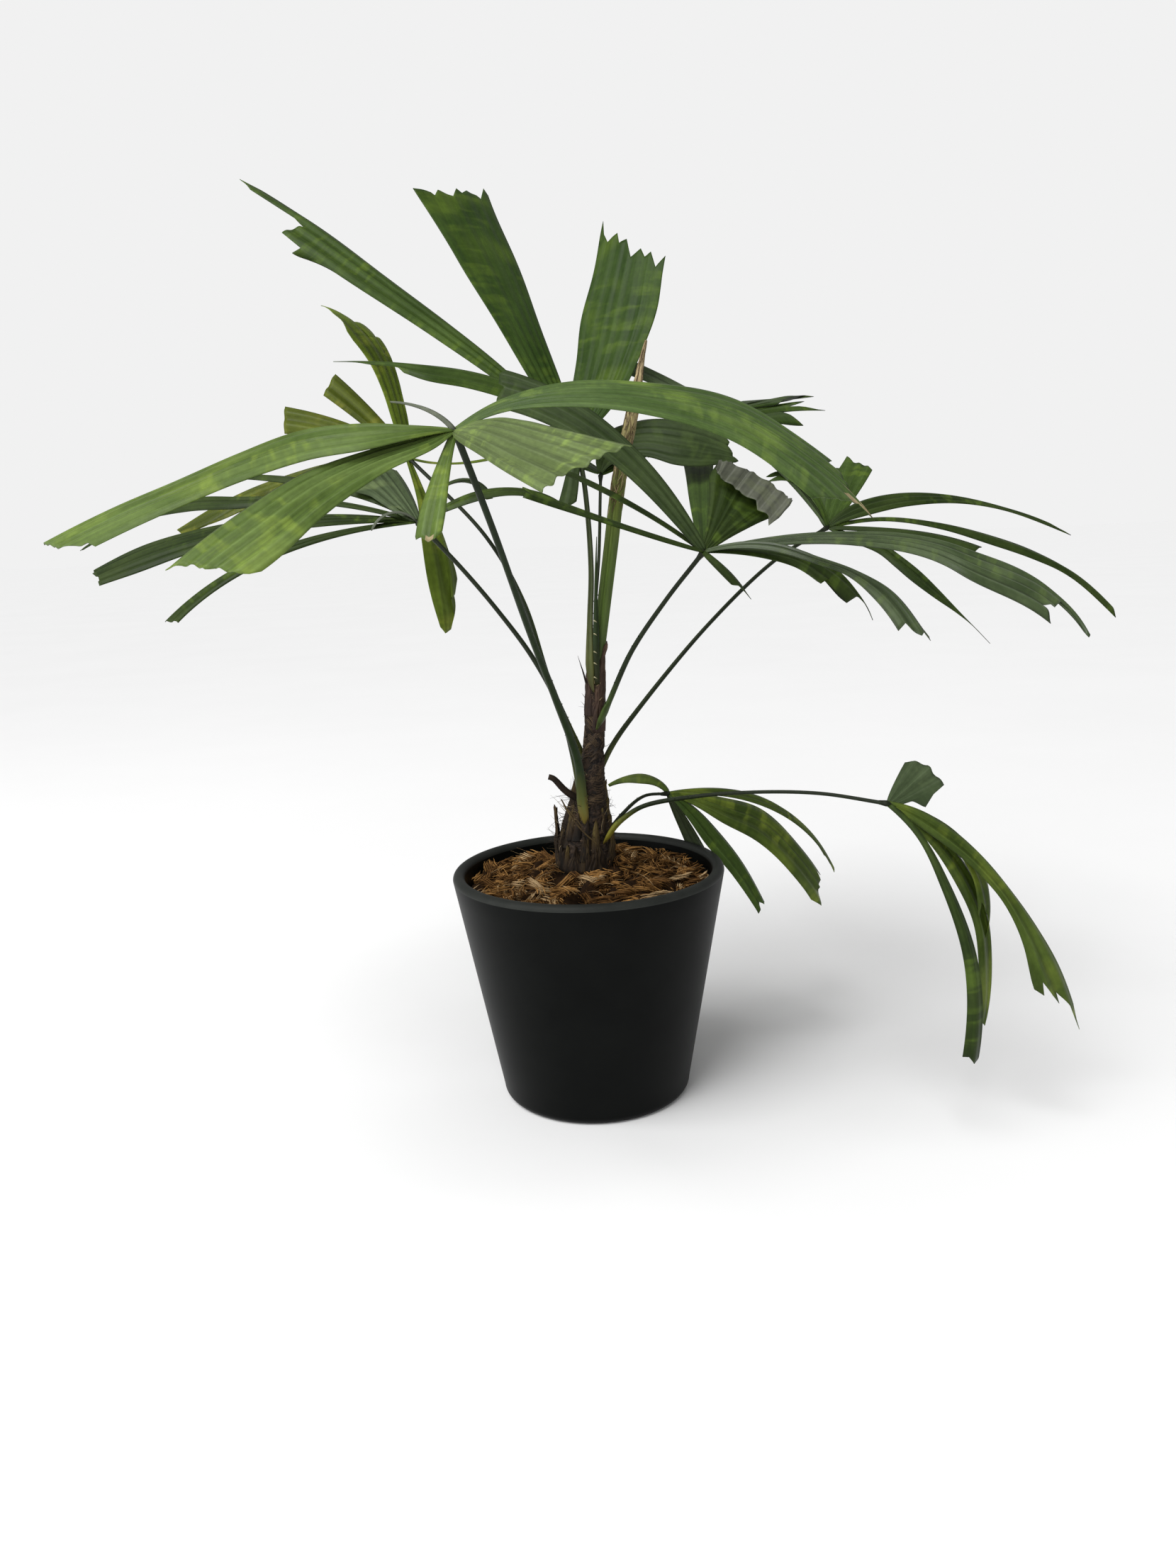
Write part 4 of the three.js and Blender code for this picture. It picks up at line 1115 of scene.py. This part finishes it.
# Dead stalks across the foot, blunt dry one on the left, and the spine beside the top sheath: places,
# radii, number of sides and tone
DEAD_STALKS = [
    ([(-13, -14, 171), (-8, -17.5, 162), (-2, -19.5, 154), (6, -19, 146)], [0.35, 0.5, 0.45, 0.2], 10, 0.85),
    ([(-12, -15, 168), (-8, -17.5, 164), (-4, -19, 159), (-1, -19.6, 153)], [0.2, 0.4, 0.35, 0.15], 10, 0.8),
    ([(-4, -3, 168), (-11, -5, 174), (-17, -6, 181), (-19.5, -6, 182)], [2.2, 1.9, 1.8, 1.5], 10, 0.1),
    ([(3, -6, 232), (1.6, -7, 238), (0.2, -8, 243), (-0.9, -8, 247)], [0.6, 0.45, 0.25, 0.06], 6, 0.4),
]
share = np.linspace(0, 1, 18)
for points, radii, sides, tone in DEAD_STALKS:
    radii = np.interp(share, np.linspace(0, 1, len(radii)), radii)
    strand(shape, curve_through(points)(share), radii, sides, tone=tone)
shape.piece("trunk_husks", [HUSK, SHEATH], "bark")

# Loose fibres on the trunk
FIBRE_DARK = noisy_material("fibre_dark", [(0.3, (0.006, 0.005, 0.004)), (0.8, (0.04, 0.028, 0.018))],
                            120, 0.45)
FIBRE_PALE = noisy_material("fibre_pale", [(0.3, (0.14, 0.1, 0.05)), (0.8, (0.4, 0.31, 0.17))], 120, 0.6)
shape = Shape()


def hair(angle, z, length, lift, curl, pale):
    """A fibre that leaves the trunk's skin and curls away."""
    out = np.array([math.cos(angle), math.sin(angle), 0])
    tangent = np.array([-math.sin(angle), math.cos(angle), 0])
    start = on_stem(angle, z, 0.2)
    steps = np.linspace(0, 1, 9)[:, None]
    rise = np.array([0, 0, rng.uniform(-0.2, 1) * (1 - lift)])
    way = unit(out * lift + rise + tangent * rng.uniform(-0.7, 0.7))
    turn = tangent * curl + out * rng.uniform(-0.4, 0.5) + np.array([0, 0, rng.uniform(-1.0, 0.8)])
    points = start + way * length * steps + turn * length * 0.6 * steps ** 2
    strand(shape, points, np.linspace(0.19, 0.04, 9), kind=int(pale))


# Hairs: how many, middle angle and its spread, heights, lengths, lift, curl, and share of pale ones
HAIRS = [
    (60, (186, 26), (140, 174), (4, 10), (0.1, 0.6), 1.6, 0.16),
    (22, (0, 30), (148, 176), (3, 7), (0.1, 0.6), 1.6, 0.2),
    (50, None, (140, 170), (3, 8), (0.05, 0.3), 0.8, 0.14),
    (16, None, (180, 235), (2, 5), (0.02, 0.15), 0.6, 0.1),
]
for count, middle, heights, lengths, lifts, curl, pale in HAIRS:
    for _ in range(count):
        angle = math.radians(rng.normal(*middle)) if middle else rng.uniform(0, 2 * math.pi)
        hair(angle, rng.uniform(*heights), rng.uniform(*lengths), rng.uniform(*lifts),
             rng.uniform(-curl, curl), rng.random() < pale)


def wound(path, thick, kind, tone=0.5):
    """A fibre that is thickest at its middle."""
    strand(shape, path, thick * np.sin(math.pi * np.linspace(0.1, 0.9, len(path))), kind=kind, tone=tone)


# Fibres wound round the trunk, in patches that slope one way or the other
for _ in range(WOUND_BUNDLES):
    z = rng.uniform(158, 236)
    turn = rng.uniform(0, 2 * math.pi)
    slope = (-0.9 if z > 200 else 0.55 if z > 180 else -0.15) + rng.uniform(-0.25, 0.25)
    span = rng.uniform(0.5, 1.3)
    steps = np.linspace(0, 1, 10)
    for n in range(int(rng.integers(3, 6))):
        level = z + 0.75 * n + slope * span * 6 * steps + 1.2 * np.sin(steps * 3) * span
        around = turn + span * steps + 0.05 * n
        lift = -0.25 * (1 - np.sin(math.pi * steps))
        wound(on_stem(around, level, lift), 0.26, 2, rng.uniform(0.1, 0.9))

# Fibres that hang in loops on the trunk's right side, toned lighter tan as a painted highlight
for n in range(PAINTED_HIGHLIGHT_LOOPS):
    z = 168 + 1.6 * n + rng.uniform(-1.2, 1.2)
    steps = np.linspace(0, 1, 12)
    level = z - 1.6 * np.sin(math.pi * steps)
    around = np.radians(-86 + rng.uniform(-8, 8) + rng.uniform(60, 84) * steps)
    wound(on_stem(around, level, 0.2), 0.22, 2, rng.uniform(0.45, 0.8))

# Pale threads at the collar under the unopened leaf
COLLAR = [(232, 234.5, -112, 50), (234.5, 231, -120, 34), (230, 233, -84, 42), (222, 224, -70, 24)]
for low, high, start, span in COLLAR:
    steps = np.linspace(0, 1, 10)
    wound(on_stem(np.radians(start + span * steps), low + (high - low) * steps, 0.6), 0.4, 1)
FIBRE_BROWN = noisy_material(
    "fibre_brown", [(0.25, (0.012, 0.007, 0.004)), (0.5, (0.04, 0.025, 0.014)), (0.85, (0.12, 0.08, 0.042))],
    120, 0.6, tone=0.7)
shape.piece("trunk_fibres", [FIBRE_DARK, FIBRE_PALE, FIBRE_BROWN], "bark")

# Unopened leaf: its pleats still folded together, green below and fibrous brown above
share = np.linspace(0, 1, SPEAR_RINGS)
points = curve_through(SPEAR_PATH)(share)
radius = np.interp(share, np.arange(len(SPEAR_RADII)) / (len(SPEAR_RADII) - 1), SPEAR_RADII)
side, upper = frames_along(points, np.array([0.0, -1.0, 0.0]))
angle = np.arange(SPEAR_SIDES) / SPEAR_SIDES * 2 * math.pi
pleats = abs(np.sin(4 * angle[None, :] + 1.2 * share[:, None]))
seam = np.exp(-((np.angle(np.exp(1j * (angle - 1.9))) / 0.16) ** 2))
rough = radius[:, None] * (1 + 0.1 * pleats - 0.28 * seam)
rings = rings_round(points, side, upper, rough * np.cos(angle), 0.75 * rough * np.sin(angle))
# Low down the unopened leaf is painted lighter on its right front and darker on its left back, and darker in
# its sunk seam: painted light and shade.
lower_painted_light = (1 - smooth_step((share - 0.35) / 0.25))[:, None]
tone = 0.4 + 0.18 * pleats - 0.3 * seam + lower_painted_light * 0.5 * np.cos(angle - 0.35)[None, :]
shape = Shape()
faces = [face[::-1] for face in tube_faces(SPEAR_RINGS, SPEAR_SIDES)]
shape.add(rings, faces, 0, np.clip(tone, 0, 1).ravel())
SPEAR = stalk_material(
    "spear",
    [(0.0, (0.035, 0.062, 0.009)), (0.3, (0.06, 0.1, 0.012)), (0.5, (0.09, 0.12, 0.02)),
     (0.64, (0.15, 0.15, 0.045)), (0.78, (0.27, 0.22, 0.1)), (1.0, (0.44, 0.34, 0.2))],
    244, 402, 0.5,
)

# Edge of the next leaf base beside it, with thorns where it meets the upper petiole
steps = np.linspace(0, 1, 30)
edge_places = [(8.8, -4.6, 231), (8.9, -5.4, 246), (9.4, -5.6, 262), (10.3, -5, 288), (11.6, -4, 308)]
path = curve_through(edge_places)(steps)
strand(shape, path, np.interp(steps, [0, 0.3, 0.6, 1], [1.7, 1.8, 0.9, 0.2]), sides=12, kind=1, tone=0.4)
for z in (235.3, 242.8, 248.8, 258.2, 265):
    x = 7.2 + 0.035 * (z - 235)
    thorn = [(x, -8, z), (x + 0.9, -8.4, z - 0.4), (x + 1.7, -8.3, z - 1.1)]
    strand(shape, thorn, [0.4, 0.3, 0.05], 5, kind=2)
BASE = stalk_material("leaf_base", [(0.0, (0.02, 0.022, 0.006)), (0.3, (0.014, 0.026, 0.006)),
                                    (1.0, (0.018, 0.034, 0.008))], 231, 308, 0.5)
shape.piece("spear_leaf_folded", [SPEAR, BASE, THORN], "spear", "spear_leaf")

# Brown net of fibre that clings to the upper part of the unopened leaf
shape = Shape()
for _ in range(SPEAR_FIBRES):
    spot = rng.uniform(0.38, 0.99) ** 0.8
    turn = rng.uniform(0, 2 * math.pi)
    i = int(spot * (SPEAR_RINGS - 1))
    length = rng.uniform(3, 11)
    steps = np.linspace(0, 1, 6)
    places = np.clip(i + steps * length / SPEAR_LENGTH * SPEAR_RINGS, 0, SPEAR_RINGS - 1).astype(int)
    twist = turn + steps * rng.uniform(-0.9, 0.9)
    around = np.cos(twist)[:, None] * side[places] + 0.75 * np.sin(twist)[:, None] * upper[places]
    path = points[places] + around * (radius[places] * 1.06 + 0.1)[:, None]
    path = path + unit(points[-1] - points[0]) * (steps * 0.4)[:, None]
    strand(shape, path, [0.1, 0.2, 0.22, 0.2, 0.16, 0.04], kind=int(rng.random() < 0.45))
SPEAR_FIBRE = noisy_material("spear_fibre", [(0.3, (0.04, 0.024, 0.01)), (0.8, (0.13, 0.085, 0.035))],
                             120, 0.7)
shape.piece("spear_fibres", [SPEAR_FIBRE, FIBRE_PALE], "spear")

# Pot: turned shell with a rounded foot, a thick rounded rim and a dark inside
rim_round = POT_WALL / 2
rim_middle = POT_RIM_RADIUS - rim_round
profile = [(0.0, 0.0), (20.0, 0.0), (40.0, 0.0)]
for turn in np.radians(np.linspace(-90, 0, 9)):
    profile.append((POT_BASE_RADIUS - POT_BASE_ROUND * (1 - math.cos(turn)),
                    POT_BASE_ROUND * (1 + math.sin(turn))))
for t in np.linspace(0, 1, 14)[1:-1]:
    profile.append((POT_BASE_RADIUS + (POT_RIM_RADIUS - POT_BASE_RADIUS) * t,
                    POT_BASE_ROUND + (POT_HEIGHT - rim_round - POT_BASE_ROUND) * t))
for turn in np.radians(np.linspace(0, 180, 17)):
    profile.append((rim_middle + rim_round * math.cos(turn),
                    POT_HEIGHT - rim_round + rim_round * math.sin(turn)))
for t in np.linspace(0, 1, 12)[1:]:
    profile.append((POT_RIM_RADIUS - POT_WALL + (POT_BASE_RADIUS - POT_RIM_RADIUS) * t,
                    POT_HEIGHT - rim_round + (POT_FLOOR - POT_HEIGHT + rim_round) * t))
profile.append((0.0, POT_FLOOR))


def turned(profile, sides):
    """Points and faces of a profile turned round the pot's axis, closed at both ends."""
    points = [(0, 0, profile[0][1])]
    for r, z in profile[1:-1]:
        for k in range(sides):
            angle = 2 * math.pi * k / sides
            points.append((r * math.cos(angle), r * math.sin(angle), z))
    points.append((0, 0, profile[-1][1]))
    faces = []
    last = 1 + (len(profile) - 3) * sides
    for k in range(sides):
        n = (k + 1) % sides
        faces.append((0, 1 + n, 1 + k))
        for a in range(1, last, sides):
            faces.append((a + k, a + n, a + sides + n, a + sides + k))
        faces.append((last + k, last + n, len(points) - 1))
    return np.array(points), faces


POT = noisy_material("pot_plastic", [(0.3, (0.0013, 0.0017, 0.0015)), (0.75, (0.003, 0.0036, 0.0032))],
                     30, 0.42, detail=6.0, strength=0.08, distance=0.0006, gloss=0.07)
# The rim's lip is painted a lighter grey than the body: a painted sheen where the lip catches the light,
# beside a little more real gloss.
RIM_PAINTED_SHEEN = noisy_material("pot_rim_painted_sheen", [(0.3, (0.016, 0.018, 0.016)), (0.75, (0.026, 0.028, 0.025))], 60, 0.5,
                     detail=6.0, strength=0.1, distance=0.0004, gloss=0.12)
pot_points, pot_faces = turned(profile, POT_SIDES)
lip_painted_sheen_faces = [int(min(pot_points[k][2] for k in face) > POT_HEIGHT - rim_round - 0.1) for face in pot_faces]
shape = Shape()
shape.add(pot_points, pot_faces, lip_painted_sheen_faces)
shape.piece("pot_shell", [POT, RIM_PAINTED_SHEEN], "pot", "pot")


# Coir: a dark lumpy bed under shaggy tufts of fibre, with stray threads
def inner_radius(z):
    return POT_BASE_RADIUS + (POT_RIM_RADIUS - POT_BASE_RADIUS) * z / POT_HEIGHT - POT_WALL


edge = inner_radius(COIR_EDGE_HEIGHT) - 0.7


def coir_height(x, y):
    share = min(1.0, math.hypot(x, y) / edge)
    lump = COIR_LUMP * (math.sin(0.21 * x + 1) * math.cos(0.24 * y) + math.sin(0.37 * x - 0.29 * y))
    mound = COIR_MOUND * math.exp(-(x * x + y * y) / COIR_MOUND_REACH ** 2)
    return COIR_EDGE_HEIGHT + COIR_CROWN * (1 - share * share) + lump + mound


bed_profile = [(0.0, 6.0), (inner_radius(6) - 0.7, 6.0)]
bed_profile += [(edge * t, COIR_EDGE_HEIGHT - 3) for t in np.linspace(1, 0.02, 46)]
bed_profile.append((0.0, COIR_EDGE_HEIGHT))
bed_points, bed_faces = turned(bed_profile, 120)
for point in bed_points[121:]:
    ruffle = 1.6 * noise.noise(Vector(point) * 0.2) + 0.8 * noise.noise(Vector(point) * 0.6)
    point[2] = coir_height(point[0], point[1]) - 3.0 + ruffle
COIR_DARK = noisy_material("coir_bed", [(0.3, (0.006, 0.003, 0.0015)), (0.7, (0.04, 0.02, 0.008))],
                           160, 0.95, strength=0.8, distance=0.0015, gloss=0.1)
shape = Shape()
shape.add(bed_points, bed_faces)
shape.piece("coir_bed", [COIR_DARK], "coir", "coir_fill")

COIR = [
    noisy_material("coir_brown", [(0.25, (0.034, 0.015, 0.004)), (0.75, (0.16, 0.078, 0.024))], 130, 0.85,
                   tone=0.9, gloss=0.1),
    noisy_material("coir_orange", [(0.25, (0.09, 0.04, 0.01)), (0.75, (0.36, 0.19, 0.06))], 130, 0.85,
                   tone=0.9, gloss=0.1),
    noisy_material("coir_pale", [(0.25, (0.2, 0.115, 0.045)), (0.75, (0.54, 0.38, 0.2))], 130, 0.8,
                   tone=0.7, gloss=0.15),
]


def inside_pot(points):
    """Fibres bend in at the pot's wall."""
    far = np.hypot(points[:, 0], points[:, 1]) / (edge - 0.2)
    points[:, :2] /= np.maximum(far, 1)[:, None]
    return points


def spot_on_coir(low, high):
    """A place between two shares of the coir's area."""
    r = edge * math.sqrt(rng.uniform(low, high))
    turn = rng.uniform(0, 2 * math.pi)
    return r * math.cos(turn), r * math.sin(turn)


tufts = [Shape() for _ in COIR]
for _ in range(COIR_TUFTS):
    x, y = spot_on_coir(0.05, 0.98)
    length = rng.uniform(7, 14)
    heading = rng.uniform(0, 2 * math.pi)
    tilt = rng.normal(0.12, 0.35)
    level_part = math.cos(tilt)
    along = np.array([math.cos(heading) * level_part, math.sin(heading) * level_part, math.sin(tilt)])
    across = np.array([-math.sin(heading), math.cos(heading), 0])
    above = np.cross(along, across)
    wide, thick = rng.uniform(2.0, 3.9), rng.uniform(1.2, 2.5)
    bend = rng.uniform(-0.5, 0.5)
    start = np.array([x, y, coir_height(x, y) - rng.uniform(-0.8, 3.0)])
    kind = int(rng.choice(3, p=[0.4, 0.46, 0.14]))
    for _ in range(int(rng.integers(11, 17))):
        side_place, high = rng.uniform(-1, 1), rng.uniform(-1, 1)
        steps = np.linspace(-0.5, 0.5, 7)[:, None]
        run = length * rng.uniform(0.6, 1.1)
        fan = 1 + 0.5 * abs(steps) * rng.uniform(0, 2)
        path = start + along * run * steps + across * (side_place * wide * fan + bend * run * steps ** 2)
        path = path + above * (high * thick * fan - 0.25 * run * steps ** 2)
        curl = rng.normal(0, 1, 3) * np.array([1, 1, 0.8])
        path = path + curl * 1.6 * np.maximum(abs(steps) - 0.2, 0) ** 2 * run / 4
        radii = rng.uniform(0.75, 1.15) * np.array([0.07, 0.26, 0.34, 0.36, 0.34, 0.24, 0.06])
        # Fibres high in a tuft are lighter and low ones darker: painted shade under the top of the tuft.
        tone = np.repeat(0.42 + 0.3 * high + 0.12 * rng.normal(0, 1, 7), 4)
        strand(tufts[kind], inside_pot(path), radii, tone=np.clip(tone, 0, 1))
for name, shape, material in zip(("brown", "orange", "pale"), tufts, COIR):
    shape.piece(f"coir_tufts_{name}", [material], "coir")

shape = Shape()
for _ in range(COIR_STRAYS):
    x, y = spot_on_coir(0.06, 0.95)
    heading = rng.uniform(0, 2 * math.pi)
    along = np.array([math.cos(heading), math.sin(heading), rng.uniform(0, 0.8)])
    across = np.array([-math.sin(heading), math.cos(heading), 0])
    run = rng.uniform(5, 14)
    steps = np.linspace(0, 1, 10)[:, None]
    path = np.array([x, y, coir_height(x, y)]) + along * run * steps
    path = path + across * run * rng.uniform(-0.7, 0.7) * steps ** 2
    path = path - np.array([0, 0, 1]) * run * rng.uniform(0.1, 0.8) * steps ** 2
    strand(shape, inside_pot(path), np.linspace(0.14, 0.04, 10), kind=int(rng.choice(3)))
shape.piece("coir_threads", COIR, "coir")

# Floor, light and camera
floor_mesh = bpy.data.meshes.new("floor")
floor_mesh.from_pydata([(-40, -40, 0), (40, -40, 0), (40, 40, 0), (-40, 40, 0)], [], [(0, 1, 2, 3)])
floor = bpy.data.objects.new("floor", floor_mesh)
bpy.context.scene.collection.objects.link(floor)
floor_mesh.materials.append(
    noisy_material("floor_pale", [(0.0, (0.84, 0.84, 0.84)), (1.0, (0.88, 0.88, 0.88))],
                   3, 0.9, strength=0.02, gloss=0.1))

scene = bpy.context.scene
world = bpy.data.worlds.new("studio")
scene.world = world
world.use_nodes = True
sky = world.node_tree
background = sky.nodes["Background"]
background.inputs["Color"].default_value = (1, 1, 1, 1)
seen = sky.nodes.new("ShaderNodeMapRange")
sky.links.new(sky.nodes.new("ShaderNodeLightPath").outputs["Is Camera Ray"], seen.inputs["Value"])
seen.inputs["To Min"].default_value = SKY_LIGHT
seen.inputs["To Max"].default_value = SKY_SEEN
sky.links.new(seen.outputs["Result"], background.inputs["Strength"])


def lamp(name, kind, place, aim, power, **values):
    light = bpy.data.lights.new(name, kind)
    light.energy = power
    for key, value in values.items():
        setattr(light, key, value)
    stand = bpy.data.objects.new(name, light)
    scene.collection.objects.link(stand)
    stand.location = place
    stand.rotation_euler = (Vector(aim) - Vector(place)).to_track_quat("-Z", "Y").to_euler()


lamp("overhead", "SUN", (-0.5, -0.55, 1.2), (0, 0, 0), 2.6, angle=math.radians(38))
lamp("left_box", "AREA", (-1.5, -0.35, 0.7), (0, 0, 0.2), 7, size=0.9)
lamp("front_fill", "AREA", (-0.6, -1.6, 0.8), (0, 0, 0.3), 11, size=1.5)

# The camera stands where the photograph was taken from
camera_data = bpy.data.cameras.new("photo_camera")
camera = bpy.data.objects.new("photo_camera", camera_data)
scene.collection.objects.link(camera)
camera_data.sensor_fit = "VERTICAL"
camera_data.sensor_height = 36.0
camera_data.lens = 27.02
camera_data.clip_start = 0.01
camera_data.clip_end = 200.0
right = Vector((0.9991, -0.01132, -0.04085))
down = Vector((-0.04231, -0.2057, -0.9777))
forward = Vector((0.00266, 0.97855, -0.20599))
camera.matrix_world = Matrix((
    (right.x, -down.x, -forward.x, 0.0),
    (right.y, -down.y, -forward.y, -0.6302),
    (right.z, -down.z, -forward.z, 0.3085),
    (0, 0, 0, 1),
))
scene.camera = camera
scene.view_settings.view_transform = "Standard"
